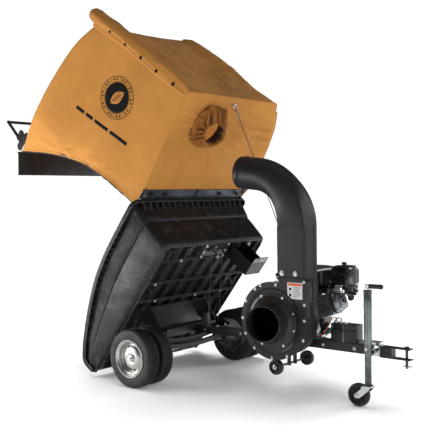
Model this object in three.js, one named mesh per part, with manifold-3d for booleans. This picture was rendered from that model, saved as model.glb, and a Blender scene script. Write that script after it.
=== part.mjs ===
// Tow-behind leaf vacuum mulcher, shown with its body dumped and its cover open.
// Millimetres, +Z up, +X towards the hitch, +Y towards the engine's recoil side.
// The ground is z = 0. Inside the machine group, x = 0 is the wheel axle.
import * as THREE from 'three';
import { mergeVertices } from 'three/addons/utils/BufferGeometryUtils.js';
import Module from 'manifold-3d';

const wasm = await Module();
wasm.setup();

// ---------------------------------------------------------------- driving dimensions
const AXLE_X = -94; // the axle's place in the row frame
const GAP = 0.3; // clearance between pieces that rest on each other

const TYRE = { radius: 184, width: 92, bead: 108 };
const AXLE = { z: TYRE.radius, radius: 10, end: 612 };
const WHEEL_Y = [439, 561]; // inner and outer wheel of each dual pair

const TONGUE = { half: 25, z: 300, wall: 3, front: 1330 };
const PIVOT = { x: -60, z: 300, radius: 15 };
const DUMP_ANGLE = 52.2; // body raised from its travelling position

const TUB_UNDERSIDE = 129; // above the pivot line, travelling
const TUB = { wall: 6, flange: 27, lip: 30, floorHalf: 508, creaseHalf: 514, rimHalf: 545 };
const TUB_FRONT = { floor: 637, crease: 661, rim: 705, creaseH: 208, rimH: 350 };
const TUB_TAIL = -447;

const HINGE = { x: 734, z: 483 }; // cover hinge, from the pivot, travelling
const COVER_OPEN = 84.4; // cover turned up against the tub
const COVER = { skirtHalf: 515, tuck: 33, roofHalf: 466, skirtZ: -50, roofZ: 747, skin: 10 };
const FACE = { bottom: [8, 68], top: [-11, 741] }; // front panel line
const REAR_HEM = { x: -1215, z: -356 };
// How far the loose cloth of the far side stands out, by height.
const FAR_BELLY = [[-50, 0], [80, 46], [300, 84], [430, 84], [560, 72], [660, 34]];
const SLEEVE = { y: -175, z: 530, hole: 130, base: 140, mouth: 62, length: 105 };

const BLOWER = { x: 833, z: 450, plateR: 230, wallR: 212, yFront: -238, yBack: -88, wall: 5 };
const DUCT = { left: 866, right: 1048, top: 703 };
const CHUTE = { bendZ: 1005, bendR: 310, bendDeg: 84, round: 98, straight: 121, wall: 4 };

const ENGINE_Y = 100;
const PLATE_TOP = 344;
const JACK = { x: 1385, y: -110, z: 318, top: 656, bottom: 300 };
const CASTER = { x: 1327, radius: 65, width: 38 };
const ROLLER = { x: 801, z: 161, radius: 46, width: 35, y: 165 };

// ---------------------------------------------------------------- solids
const radians = (degrees) => THREE.MathUtils.degToRad(degrees);
const V = (x, y, z) => new THREE.Vector3(x, y, z);

/** A closed geometry as a manifold solid. */
function solid(geometry) {
  const bare = new THREE.BufferGeometry();
  bare.setAttribute('position', geometry.getAttribute('position'));
  if (geometry.index) bare.setIndex(geometry.index);
  const merged = mergeVertices(bare, 1e-4);
  const triangles = merged.index.array;
  const kept = [];
  for (let i = 0; i < triangles.length; i += 3) {
    const [a, b, c] = [triangles[i], triangles[i + 1], triangles[i + 2]];
    if (a !== b && b !== c && c !== a) kept.push(a, b, c);
  }
  return new wasm.Manifold(
    new wasm.Mesh({
      numProp: 3,
      vertProperties: Float32Array.from(merged.getAttribute('position').array),
      triVerts: Uint32Array.from(kept),
    }),
  );
}

const join = (...solids) => solids.reduce((sum, next) => sum.add(next));

function box(x0, x1, y0, y1, z0, z1) {
  const geometry = new THREE.BoxGeometry(x1 - x0, y1 - y0, z1 - z0);
  geometry.translate((x0 + x1) / 2, (y0 + y1) / 2, (z0 + z1) / 2);
  return solid(geometry);
}

/** A round bar between two points; the second radius makes it a cone. */
function bar(from, to, radius, sides = 16, radiusTo = radius) {
  const along = to.clone().sub(from);
  const geometry = new THREE.CylinderGeometry(radiusTo, radius, along.length(), sides);
  const turn = new THREE.Quaternion().setFromUnitVectors(V(0, 1, 0), along.normalize());
  geometry.applyQuaternion(turn);
  geometry.translate((from.x + to.x) / 2, (from.y + to.y) / 2, (from.z + to.z) / 2);
  return solid(geometry);
}

/** A skin through closed rings of points, capped at both ends. */
function loft(rings) {
  const count = rings[0].length;
  const middle = (ring) => ring.reduce((sum, p) => sum.add(p), V(0, 0, 0)).divideScalar(count);
  const points = [...rings.flat(), middle(rings[0]), middle(rings.at(-1))];
  const [first, last] = [points.length - 2, points.length - 1];
  const end = (rings.length - 1) * count;
  const index = [];
  for (let r = 0; r < rings.length - 1; r += 1) {
    for (let k = 0; k < count; k += 1) {
      const a = r * count + k;
      const b = r * count + ((k + 1) % count);
      index.push(a, b, b + count, a, b + count, a + count);
    }
  }
  for (let k = 0; k < count; k += 1) {
    const next = (k + 1) % count;
    index.push(first, next, k, last, end + k, end + next);
  }
  let volume = 0;
  for (let i = 0; i < index.length; i += 3) {
    const [a, b, c] = [points[index[i]], points[index[i + 1]], points[index[i + 2]]];
    volume += a.dot(b.clone().cross(c));
  }
  if (volume < 0) index.reverse();
  const geometry = new THREE.BufferGeometry().setFromPoints(points);
  geometry.setIndex(index);
  return solid(geometry);
}

/** A bent bar of constant section, mitred at each bend. */
function bentBar(points, radius, sides = 8) {
  const headings = points.slice(1).map((p, i) => p.clone().sub(points[i]).normalize());
  const turn = new THREE.Quaternion().setFromUnitVectors(V(0, 0, 1), headings[0]);
  let ring = [];
  for (let k = 0; k < sides; k += 1) {
    const a = (2 * Math.PI * (k + 0.5)) / sides;
    ring.push(V(radius * Math.cos(a), radius * Math.sin(a), 0).applyQuaternion(turn).add(points[0]));
  }
  const rings = [ring];
  headings.forEach((heading, i) => {
    const mitre = heading.clone().add(headings[i + 1] ?? heading).normalize();
    ring = ring.map((q) => {
      const reach = points[i + 1].clone().sub(q).dot(mitre) / heading.dot(mitre);
      return q.clone().addScaledVector(heading, reach);
    });
    rings.push(ring);
  });
  return loft(rings);
}

/** A side-view outline (x, z) carried across from y0 to y1. */
function profile(outline, y0, y1) {
  const shape = outline instanceof THREE.Shape
    ? outline
    : new THREE.Shape(outline.map(([x, z]) => new THREE.Vector2(x, z)));
  const geometry = new THREE.ExtrudeGeometry(shape, {
    depth: y1 - y0,
    bevelEnabled: false,
    curveSegments: 8,
  });
  geometry.rotateX(Math.PI / 2);
  geometry.translate(0, y1, 0);
  return solid(geometry);
}

/** A turned piece about the Y axis, from a closed (radius, y) outline. */
function turned(outline, sides, centre) {
  const loop = [...outline, outline[0]].map(([r, y]) => new THREE.Vector2(r, y));
  const geometry = new THREE.LatheGeometry(loop, sides, Math.PI / sides);
  geometry.translate(centre.x, centre.y, centre.z);
  return solid(geometry);
}

/** A round cable or pipe swept along a curve. */
function swept(curve, radius, sides, steps) {
  const section = new THREE.Shape();
  for (let k = 0; k < sides; k += 1) {
    const a = (2 * Math.PI * k) / sides;
    const [x, y] = [radius * Math.cos(a), radius * Math.sin(a)];
    if (k) section.lineTo(x, y);
    else section.moveTo(x, y);
  }
  section.closePath();
  return solid(new THREE.ExtrudeGeometry(section, { steps, extrudePath: curve, bevelEnabled: false }));
}

function finish(color, roughness, metalness = 0) {
  return { color, roughness, metalness };
}

const FINISH = {
  tyre: finish(0x1c1c1d, 0.85),
  rim: finish(0xb9b9b4, 0.35, 0.9),
  zinc: finish(0xb4b8b2, 0.35, 0.9),
  powder: finish(0x232324, 0.5, 0.2),
  blower: finish(0x2f2e31, 0.45, 0.2),
  poly: finish(0x1b1b1c, 0.55),
  canvas: finish(0xc08a45, 0.9),
  vinyl: finish(0x1d1d1f, 0.6),
  hingeBar: finish(0x3a3e47, 0.4, 0.5),
  engineBlack: finish(0x161617, 0.4),
  engineGrey: finish(0x6f7072, 0.6),
  aluminium: finish(0xa9abac, 0.45, 0.8),
  battery: finish(0x17181a, 0.5),
  redLead: finish(0xb01824, 0.5),
  greenLead: finish(0x0c6b52, 0.5),
  rope: finish(0x6b6d6e, 0.4, 0.7),
};

/** A named piece, added to its group. */
function piece(group, name, body, look) {
  const mesh = body.getMesh();
  const geometry = new THREE.BufferGeometry();
  geometry.setAttribute('position', new THREE.BufferAttribute(mesh.vertProperties, 3));
  geometry.setIndex(new THREE.BufferAttribute(mesh.triVerts, 1));
  geometry.computeVertexNormals();
  const made = new THREE.Mesh(geometry, new THREE.MeshStandardMaterial(look));
  made.name = name;
  group.add(made);
}

// ---------------------------------------------------------------- groups
const machine = new THREE.Group();
machine.position.x = AXLE_X;

const tubGroup = new THREE.Group();
tubGroup.position.set(PIVOT.x, 0, PIVOT.z);
tubGroup.rotation.y = -radians(DUMP_ANGLE);
machine.add(tubGroup);

const coverGroup = new THREE.Group();
coverGroup.position.set(HINGE.x, 0, HINGE.z);
coverGroup.rotation.y = radians(COVER_OPEN);
tubGroup.add(coverGroup);

const flapGroup = new THREE.Group();
flapGroup.position.set(REAR_HEM.x - 14, 0, REAR_HEM.z - 12);
flapGroup.rotation.y = -radians(COVER_OPEN - DUMP_ANGLE);
coverGroup.add(flapGroup);

/** A point of the machine frame, in the tub group's own frame. */
function inTub(x, y, z) {
  return V(x - PIVOT.x, y, z - PIVOT.z).applyAxisAngle(V(0, 1, 0), radians(DUMP_ANGLE));
}

/** A point of the cover's frame, in the machine frame, with the cover open. */
function coverToMachine(x, y, z) {
  const point = V(x, y, z).applyAxisAngle(V(0, 1, 0), radians(COVER_OPEN));
  point.add(V(HINGE.x, 0, HINGE.z)).applyAxisAngle(V(0, 1, 0), -radians(DUMP_ANGLE));
  return point.add(V(PIVOT.x, 0, PIVOT.z));
}

// ---------------------------------------------------------------- wheels and axle
/** Left out of true round by its flats, so the flats touch the ground. */
const faceted = (radius, sides) => radius / Math.cos(Math.PI / sides);

function makeWheel(name, y, side) {
  const sides = 24;
  const centre = V(0, y, AXLE.z);
  const outer = faceted(TYRE.radius, sides);
  const tread = [
    [TYRE.bead, -37], [118.5, -40.5], [150, -46], [176, -42], [outer, -30],
    [outer, 30], [176, 42], [150, 46], [118.5, 40.5], [TYRE.bead, 37],
  ];
  piece(machine, `${name}_tyre`, turned(tread, sides, centre), FINISH.tyre);
  const dish = [
    [10.8, -36], [22, -36], [24, -22], [72, -26], [92, -12], [96, -40],
    [117, -45], [117, -41], [107, -37.5], [107, 37.5], [117, 41], [117, 45],
    [98, 41], [94, -4], [22, -12], [22, 36], [10.8, 36],
  ].map(([r, v]) => [r, v * side]);
  const ordered = side > 0 ? dish : dish.reverse();
  piece(machine, `${name}_rim`, turned(ordered, sides, centre), FINISH.rim);
}

for (const [label, sign] of [['near', -1], ['far', 1]]) {
  makeWheel(`wheel_${label}_inner`, sign * WHEEL_Y[0], -sign);
  makeWheel(`wheel_${label}_outer`, sign * WHEEL_Y[1], -sign);
}

const axleRod = bar(V(0, -AXLE.end, AXLE.z), V(0, AXLE.end, AXLE.z), AXLE.radius, 12);
const nuts = [-1, 1].map((s) => bar(V(0, s * 598, AXLE.z), V(0, s * 608, AXLE.z), 16, 6));
piece(machine, 'axle', join(axleRod, ...nuts), FINISH.zinc);

// ---------------------------------------------------------------- chassis
const sidePlateOutline = [
  [-92, 283], [-92, 318], [-76, 332], [40, 332], [40, 165], [24, 156], [-18, 156], [-34, 178],
];
const sidePlates = [-300, 300].map((y) => profile(sidePlateOutline, y - 5, y + 5));
const axleBore = bar(V(0, -400, AXLE.z), V(0, 400, AXLE.z), AXLE.radius + 0.8, 12);
const crossTube = box(-15, 35, -304, 304, 275, 325);
const pivotBar = bar(V(PIVOT.x, -325, PIVOT.z), V(PIVOT.x, 325, PIVOT.z), PIVOT.radius, 16);
const axleFrame = join(...sidePlates, crossTube, pivotBar).subtract(axleBore);
piece(machine, 'axle_frame', axleFrame, FINISH.powder);

const tongueOuter = box(35 + GAP, TONGUE.front, -TONGUE.half, TONGUE.half, 275, 325);
const inner = TONGUE.half - TONGUE.wall;
const tongueBore = box(0, TONGUE.front + 10, -inner, inner, 278, 322);
piece(machine, 'tongue', tongueOuter.subtract(tongueBore), FINISH.powder);

const saddle = box(130, 262, -80, 80, 325 + GAP, 332);
const restPost = box(150, 190, -80, -52, 331, 421);
const farEar = profile([[140, 326], [262, 326], [262, 340], [190, 372], [140, 352]], 62, 70);
piece(machine, 'rest_bracket', join(saddle, restPost, farEar), FINISH.powder);

// Two low rollers stop the blower from grounding on rough lawns.
const rollerAxle = bar(V(ROLLER.x, -192, ROLLER.z), V(ROLLER.x, 192, ROLLER.z), 7, 10);
const uprights = [-1, 1].map((s) => {
  const near = s > 0 ? 28 : -36;
  return box(ROLLER.x - 13, ROLLER.x + 13, near, near + 8, ROLLER.z - 14, 322);
});
const rollerTie = box(ROLLER.x - 13, ROLLER.x + 13, -36, 36, 262, 275 - GAP);
piece(machine, 'roller_bracket', join(rollerAxle, ...uprights, rollerTie), FINISH.powder);
for (const [label, sign] of [['near', -1], ['far', 1]]) {
  const sides = 20;
  const outline = [
    [7.6, -17], [14, -17], [14, -10], [34, -10], [36, -17.5], [faceted(ROLLER.radius, sides), -13],
    [faceted(ROLLER.radius, sides), 13], [36, 17.5], [34, 10], [14, 10], [14, 17], [7.6, 17],
  ];
  const centre = V(ROLLER.x, sign * ROLLER.y, ROLLER.z);
  piece(machine, `roller_${label}`, turned(outline, sides, centre), FINISH.vinyl);
}

// ---------------------------------------------------------------- blower
const { x: bx, z: bz } = BLOWER;

/** The scroll's outline: a round belly that runs into the upright duct. */
function scroll(radius, left, right, top) {
  const shape = new THREE.Shape();
  const reach = left - bx;
  const meet = Math.asin(reach / radius);
  shape.moveTo(right, bz);
  shape.lineTo(right, top);
  shape.lineTo(left, top);
  shape.lineTo(left, bz + radius * Math.cos(meet) + 14);
  shape.lineTo(left - 22, bz + Math.sqrt(radius ** 2 - (reach - 22) ** 2));
  const steps = 26;
  const from = Math.PI / 2 - meet + 0.12;
  for (let k = 1; k < steps; k += 1) {
    const a = from + ((2 * Math.PI - from) * k) / steps;
    shape.lineTo(bx + radius * Math.cos(a), bz + radius * Math.sin(a));
  }
  shape.closePath();
  return shape;
}

const w = BLOWER.wall;
const casing = profile(scroll(BLOWER.wallR, DUCT.left, DUCT.right, DUCT.top), BLOWER.yFront, BLOWER.yBack);
const cavity = profile(
  scroll(BLOWER.wallR - w, DUCT.left + w, DUCT.right - w, DUCT.top + 20),
  BLOWER.yFront - 10,
  BLOWER.yBack - w,
);
const shaftHole = bar(V(bx, -140, bz), V(bx, 0, bz), 20, 16);
piece(machine, 'blower_housing', casing.subtract(cavity).subtract(shaftHole), FINISH.blower);

const plateEdge = scroll(BLOWER.plateR, DUCT.left - 1, DUCT.right + 15, DUCT.top);
const frontPlate = profile(plateEdge, BLOWER.yFront - 5, BLOWER.yFront - GAP);
const eye = bar(V(bx, -260, bz), V(bx, -200, bz), 150, 24);
piece(machine, 'blower_front_plate', frontPlate.subtract(eye), FINISH.blower);

/** A ring round a centre that faces out of the blower, turned towards the hitch. */
function intakeRing(out, forward, radius, turnDegrees, sides = 24) {
  const ring = [];
  for (let k = 0; k < sides; k += 1) {
    const a = (2 * Math.PI * k) / sides;
    const point = V(radius * Math.cos(a), 0, radius * Math.sin(a));
    point.applyAxisAngle(V(0, 0, 1), radians(turnDegrees));
    ring.push(point.add(V(bx + forward, BLOWER.yFront - out, bz)));
  }
  return ring;
}

const nozzleOuter = loft([
  intakeRing(5 + GAP, 0, 168, 0), intakeRing(10, 0, 168, 0), intakeRing(12, 0, 150, 0),
  intakeRing(24, 2, 134, 4), intakeRing(45, 6, 118, 9), intakeRing(80, 13, 107, 14),
  intakeRing(136, 23, 104, 17),
]);
const nozzleInner = loft([
  intakeRing(-2, 0, 146, 0), intakeRing(12, 0, 143, 0), intakeRing(24, 2, 128, 4),
  intakeRing(45, 6, 113, 9), intakeRing(80, 13, 102, 14), intakeRing(150, 26, 99, 17),
]);
piece(machine, 'intake_nozzle', nozzleOuter.subtract(nozzleInner), FINISH.blower);

const BLADES = 4;
const impellerParts = [
  bar(V(bx, -104, bz), V(bx, -98, bz), 176, 28),
  bar(V(bx, -150, bz), V(bx, -98, bz), 34, 16),
  bar(V(bx, -110, bz), V(bx, -62, bz), 12.7, 12),
];
for (let k = 0; k < BLADES; k += 1) {
  const blade = new THREE.BoxGeometry(150, 96, 8);
  blade.translate(104, 0, 0);
  blade.rotateY((2 * Math.PI * k) / BLADES + 0.4);
  blade.translate(bx, -148, bz);
  impellerParts.push(solid(blade));
}
piece(machine, 'impeller', join(...impellerParts), FINISH.powder);

// ---------------------------------------------------------------- discharge chute
const ductX = (DUCT.left + DUCT.right) / 2;
const ductY = (BLOWER.yFront + BLOWER.yBack) / 2;
const ductHalf = [(DUCT.right - DUCT.left) / 2, (BLOWER.yBack - BLOWER.yFront) / 2];

/** One cross-section: rectangular at the foot, round at the outlet. */
function chuteRing(along, inset, count = 24) {
  const bend = Math.min(Math.max(along, 0), 1);
  const turn = radians(CHUTE.bendDeg) * bend;
  const roundness = Math.min(1, bend / 0.8);
  const back = CHUTE.bendR * (1 - Math.cos(turn));
  const centre = V(ductX - back, ductY, CHUTE.bendZ + CHUTE.bendR * Math.sin(turn));
  if (along < 0) centre.z = CHUTE.bendZ + along;
  if (along > 1) {
    centre.x -= (along - 1) * Math.sin(turn);
    centre.z += (along - 1) * Math.cos(turn);
  }
  const ring = [];
  for (let k = 0; k < count; k += 1) {
    const a = (2 * Math.PI * (k + 0.5)) / count;
    const [c, s] = [Math.cos(a), Math.sin(a)];
    const corner = 1 / Math.max(Math.abs(c), Math.abs(s));
    const square = [ductHalf[0] * c * corner, ductHalf[1] * s * corner];
    const across = THREE.MathUtils.lerp(square[0] * 0.995, CHUTE.round * c, roundness);
    const deep = THREE.MathUtils.lerp(square[1] * 0.995, CHUTE.round * s, roundness);
    const shrink = 1 - inset / 88;
    const offset = V(across * shrink, deep * shrink, 0);
    offset.applyAxisAngle(V(0, 1, 0), -turn);
    ring.push(offset.add(centre));
  }
  return ring;
}

const foot = DUCT.top + GAP - CHUTE.bendZ;
const bendSteps = [0, 0.12, 0.24, 0.36, 0.48, 0.6, 0.72, 0.86, 1];
const outletEnd = 1 + CHUTE.straight;
const chuteOuter = loft([foot, ...bendSteps, outletEnd].map((t) => chuteRing(t, 0)));
const chuteInner = loft([foot - 20, ...bendSteps, outletEnd + 20].map((t) => chuteRing(t, CHUTE.wall)));
piece(machine, 'discharge_chute', chuteOuter.subtract(chuteInner), FINISH.blower);

// ---------------------------------------------------------------- engine
const deck = box(700, 985, -84, 285, 338, PLATE_TOP);
const rails = [725, 930].map((x) => box(x, x + 30, -84, 285, 325 + GAP, 338.5));
piece(machine, 'engine_plate', join(deck, ...rails), FINISH.powder);

const sump = box(742, 936, -54, 118, PLATE_TOP + GAP, 372);
const caseBody = box(756, 930, -50, 114, 366, 548);
piece(machine, 'crankcase', join(sump, caseBody), FINISH.aluminium);

/** Moves a solid built along +X from the crank onto the cylinder's slope. */
const CYLINDER_SLOPE = 21;
function onCylinder(body) {
  const turn = radians(CYLINDER_SLOPE);
  const [c, s] = [Math.cos(turn), Math.sin(turn)];
  return body.transform([c, 0, s, 0, 0, 1, 0, 0, -s, 0, c, 0, bx, ENGINE_Y + 5, bz, 1]);
}

const headFins = [];
for (let x = 148; x <= 232; x += 14) headFins.push(box(x, x + 4, -68, 37, -66, 66));
const barrel = box(122, 244, -48, 37, -50, 50);
const cylinder = onCylinder(join(barrel, ...headFins));
const crankcaseEnvelope = box(742 - GAP, 936 + GAP, -54 - GAP, 118 + GAP, 300, 548 + GAP);
const shroudEnvelope = bar(V(bx, 117, bz), V(bx, 200, bz), 128 + GAP, 24);
piece(machine, 'cylinder', cylinder.subtract(crankcaseEnvelope).subtract(shroudEnvelope), FINISH.aluminium);

const coverRing = (x, half, count = 20) => {
  const ring = [];
  for (let k = 0; k < count; k += 1) {
    const a = (2 * Math.PI * k) / count;
    const squeeze = Math.max(Math.abs(Math.cos(a)), Math.abs(Math.sin(a))) ** 0.55;
    ring.push(V(x, (half * Math.cos(a)) / squeeze, (half * Math.sin(a)) / squeeze));
  }
  return ring;
};
const valveCover = loft([coverRing(244.4, 58), coverRing(252, 58), coverRing(276, 50), coverRing(290, 40)]);
piece(machine, 'valve_cover', onCylinder(valveCover), FINISH.aluminium);

const shroudRings = [
  [118 + GAP, 128], [205, 128], [232, 118], [256, 88],
].map(([y, r]) => {
  const ring = [];
  for (let k = 0; k < 24; k += 1) {
    const a = (2 * Math.PI * k) / 24;
    const drop = Math.max(r * Math.sin(a), PLATE_TOP + GAP + 1 - bz);
    ring.push(V(bx + r * Math.cos(a), y, bz + drop));
  }
  return ring;
});
const recoil = join(
  bar(V(bx, 254, bz), V(bx, 276, bz), 84, 24, 62),
  bar(V(bx + 30, 250, bz + 66), V(bx + 30, 286, bz + 66), 9, 8),
  box(bx + 4, bx + 56, 282, 300, bz + 58, bz + 74),
);
piece(machine, 'fan_shroud', join(loft(shroudRings), recoil), FINISH.engineBlack);

/** A tank or box with softened upright corners. */
function softBox(x0, x1, y0, y1, levels, corner) {
  const rings = levels.map(([z, inset]) => {
    const ring = [];
    const [cx, cy] = [(x0 + x1) / 2, (y0 + y1) / 2];
    const [hx, hy] = [(x1 - x0) / 2 - inset, (y1 - y0) / 2 - inset];
    for (const [sx, sy] of [[1, 1], [-1, 1], [-1, -1], [1, -1]]) {
      for (let k = 0; k < 4; k += 1) {
        const a = Math.atan2(sy, sx) - Math.PI / 4 + (k * Math.PI) / 6;
        const px = cx + sx * (hx - corner) + corner * Math.cos(a);
        ring.push(V(px, cy + sy * (hy - corner) + corner * Math.sin(a), z));
      }
    }
    return ring;
  });
  return loft(rings);
}

const tank = softBox(752, 985, -46, 246, [[628, 8], [640, 0], [728, 0], [746, 14]], 34);
piece(machine, 'fuel_tank', tank, FINISH.engineBlack);
const cap = bar(V(840, 120, 746 + GAP), V(840, 120, 764), 30, 16, 28);
piece(machine, 'fuel_cap', cap, FINISH.engineBlack);

const cleaner = softBox(1010, 1132, 108, 186, [[640, 6], [648, 0], [742, 0], [756, 12]], 20);
const wingKnob = join(
  bar(V(1086, 147, 754), V(1086, 147, 770), 9, 12),
  box(1073, 1099, 143, 151, 764, 776),
);
piece(machine, 'air_cleaner', join(cleaner, wingKnob), FINISH.engineBlack);
const muffler = softBox(1012, 1128, 190, 256, [[632, 8], [642, 0], [730, 0], [750, 18]], 20);
piece(machine, 'muffler_guard', muffler, FINISH.engineGrey);

const carburettor = join(box(1106, 1150, 130, 180, 578, 640 - GAP), box(1150, 1168, 142, 162, 588, 608));
piece(machine, 'carburettor', carburettor, FINISH.aluminium);
const LEVER = V(1128, 122, 600);
const throttle = join(
  bar(V(LEVER.x, 130 - GAP, LEVER.z), V(LEVER.x, 120, LEVER.z), 6, 10),
  box(LEVER.x - 5, LEVER.x + 46, 121, 124, LEVER.z - 4, LEVER.z + 4),
);
piece(machine, 'throttle_lever', throttle, FINISH.engineBlack);

// ---------------------------------------------------------------- battery and leads
const batteryBox = box(1100, 1272, -37, 37, 331, 436);
const batteryTray = box(1092, 1282, -42, 42, 325 + GAP, 331.2);
const posts = [1130, 1160].map((x) => bar(V(x, -16, 435), V(x, -16, 447), 8, 10));
piece(machine, 'battery', join(batteryBox, batteryTray, ...posts), FINISH.battery);

/** The leads loop from the posts back to the engine's crankcase. */
function lead(name, post, lane, landing, look) {
  const route = new THREE.CatmullRomCurve3([
    V(post, -16, 449), V(post, -16, 462), V(post - 8, -30 - lane, 470), V(post - 16, -52 - lane, 455),
    V(post - 36, -64 - lane, 408), V(post - 74, -62 - lane, 362), V(1020, -56 - lane, 352 - lane),
    V(975, -46 - lane, 366 - lane), V(938, -34, landing),
  ]);
  piece(machine, name, swept(route, 3.2, 8, 30), look);
}
lead('battery_lead_red', 1130, 0, 404, FINISH.redLead);
lead('battery_lead_green', 1160, 10, 386, FINISH.greenLead);

// ---------------------------------------------------------------- hitch
const mountSleeve = box(TONGUE.front + GAP, 1412, -27, 27, 273, 352);
const mountBoss = bar(V(JACK.x, -20, JACK.z), V(JACK.x, -78, JACK.z), 26, 16);
piece(machine, 'jack_mount', join(mountSleeve, mountBoss), FINISH.zinc);

const hitchBlock = box(1412 + GAP, 1484, -26, 26, 272, 330);
const upperTang = box(1412 + GAP, 1592, -24, 24, 327, 333);
const lowerTang = box(1412 + GAP, 1592, -24, 24, 269, 275);
const PIN = { x: 1564, radius: 8 };
const pinHole = bar(V(PIN.x, 0, 200), V(PIN.x, 0, 400), PIN.radius + 1, 12);
piece(machine, 'hitch_clevis', join(hitchBlock, upperTang, lowerTang).subtract(pinHole), FINISH.powder);

const pinBody = bar(V(PIN.x, 0, 222), V(PIN.x, 0, 336), PIN.radius, 12);
const pinHead = bar(V(PIN.x, 0, 333 + GAP), V(PIN.x, 0, 343), 14, 12);
piece(machine, 'hitch_pin', join(pinBody, pinHead), FINISH.powder);
const clipWire = bentBar(
  [V(1536, -12, 234), V(1552, -12, 234), V(1584, -12, 234),
    V(1600, 0, 234), V(1584, 12, 234), V(1540, 12, 234)],
  2,
  6,
);
piece(machine, 'pin_clip', clipWire, FINISH.zinc);

// ---------------------------------------------------------------- jack
const jackTube = bar(V(JACK.x, JACK.y, JACK.bottom), V(JACK.x, JACK.y, JACK.top), 22.5, 20);
const jackBore = bar(V(JACK.x, JACK.y, 200), V(JACK.x, JACK.y, JACK.top - 6), 20.3, 20);
const jackFlange = bar(V(JACK.x, -90, JACK.z), V(JACK.x, -78 - GAP, JACK.z), 26, 16);
piece(machine, 'jack_outer_tube', join(jackTube, jackFlange).subtract(jackBore), FINISH.zinc);

const innerTube = bar(V(JACK.x, JACK.y, 128), V(JACK.x, JACK.y, 445), 19, 16);
const footPlate = bar(V(JACK.x, JACK.y, 122), V(JACK.x, JACK.y, 130), 25, 16);
piece(machine, 'jack_inner_tube', join(innerTube, footPlate), FINISH.zinc);

const crankArm = join(
  bar(V(JACK.x, JACK.y, JACK.top + GAP), V(JACK.x, JACK.y, 684), 7, 12),
  box(JACK.x - 12, JACK.x + 10, JACK.y - 9, JACK.y + 9, 666, 686),
);
const crankGrip = bar(V(JACK.x + 8, JACK.y, 677), V(JACK.x + 92, JACK.y, 677), 13, 14);
piece(machine, 'jack_crank', join(crankArm, crankGrip), FINISH.powder);

const forkPlateOutline = [
  [JACK.x - 26, 121.6], [JACK.x + 26, 121.6], [JACK.x + 14, 100], [CASTER.x + 16, 52],
  [CASTER.x - 10, 50], [CASTER.x - 18, 66], [JACK.x - 34, 104],
];
const forkPlates = [-1, 1].map((s) => {
  const y = JACK.y + s * 25;
  return profile(forkPlateOutline, y - 2, y + 2);
});
const forkCrown = box(JACK.x - 26, JACK.x + 26, JACK.y - 27, JACK.y + 27, 116, 121.6);
const casterPin = bar(V(CASTER.x, JACK.y - 30, 65), V(CASTER.x, JACK.y + 30, 65), 6, 10);
const casterClear = bar(V(CASTER.x, JACK.y - 21, 65), V(CASTER.x, JACK.y + 21, 65), 69, 20);
const fork = join(...forkPlates, forkCrown.subtract(casterClear), casterPin);
piece(machine, 'caster_fork', fork, FINISH.zinc);

const casterSides = 20;
const casterR = faceted(CASTER.radius, casterSides);
const casterOutline = [
  [6.8, -19], [17, -19], [17, -12], [45, -12], [58, -18], [casterR, -11],
  [casterR, 11], [58, 18], [45, 12], [17, 12], [17, 19], [6.8, 19],
];
const casterWheel = turned(casterOutline, casterSides, V(CASTER.x, JACK.y, CASTER.radius));
piece(machine, 'caster_wheel', casterWheel, FINISH.tyre);

// ---------------------------------------------------------------- tub
/** One level of the tub: a rounded-front outline that runs out past the open tail. */
function tubLevel(h, half, front, grow) {
  const z = TUB_UNDERSIDE + h;
  const corner = 34 + grow;
  const ring = [V(TUB_TAIL - 160, -half - grow, z), V(TUB_TAIL - 160, half + grow, z)];
  const [cx, cy] = [front + grow - corner, half + grow - corner];
  for (let k = 0; k <= 4; k += 1) {
    const a = Math.PI / 2 - (k * Math.PI) / 8;
    ring.push(V(cx + corner * Math.cos(a), cy + corner * Math.sin(a), z));
  }
  for (let k = 0; k <= 4; k += 1) {
    const a = (-k * Math.PI) / 8;
    ring.push(V(cx + corner * Math.cos(a), -cy + corner * Math.sin(a), z));
  }
  return ring;
}

function tubBlock(grow, floorH) {
  return loft([
    tubLevel(floorH, TUB.floorHalf, TUB_FRONT.floor, grow),
    tubLevel(TUB_FRONT.creaseH, TUB.creaseHalf, TUB_FRONT.crease, grow),
    tubLevel(TUB_FRONT.rimH + 60, TUB.rimHalf + 12, TUB_FRONT.rim + 18, grow),
  ]);
}

/** The side view below the rim, shifted forward and down to make the lip's inner line. */
function belowRim(forward, down) {
  const rim = [[760, 350], [541, 352], [287, 347], [90, 322], [-132, 262], [-304, 200], [-418, 140]];
  const tail = [[-446, 110], [TUB_TAIL, 20], [TUB_TAIL + 12, -20], [760, -20]];
  const outline = [...rim, ...tail].map(([x, h]) => [x + forward, TUB_UNDERSIDE + h - down]);
  return profile(outline, -700, 700);
}

const lipBand = tubBlock(TUB.flange, -30).intersect(belowRim(0, 0)).subtract(belowRim(TUB.lip, TUB.lip));
const lipHollow = tubBlock(TUB.flange - TUB.wall, -60).intersect(belowRim(TUB.wall, TUB.wall));
const lip = lipBand.subtract(lipHollow);
const walls = tubBlock(0, 0).intersect(belowRim(0, 0));
const tubInside = tubBlock(-TUB.wall, TUB.wall);
const floorGuard = box(-900, 900, -800, 800, 0, TUB_UNDERSIDE);
const tubShell = join(walls, lip.subtract(floorGuard)).subtract(tubInside);
piece(tubGroup, 'tub', tubShell, FINISH.poly);

const padZ = TUB_UNDERSIDE - GAP;
const lugOutline = [[-70, padZ - 4], [70, padZ - 4], [24, -18], [0, -30], [-24, -18]];
const lugs = [-275, 275].map((y) => profile(lugOutline, y - 5, y + 5));
const lugPad = box(-115, 115, -330, 330, padZ - 7, padZ);
const lugBore = bar(V(0, -400, 0), V(0, 400, 0), PIVOT.radius + 0.9, 16);
piece(tubGroup, 'tub_pivot_lugs', join(...lugs, lugPad).subtract(lugBore), FINISH.powder);

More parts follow.
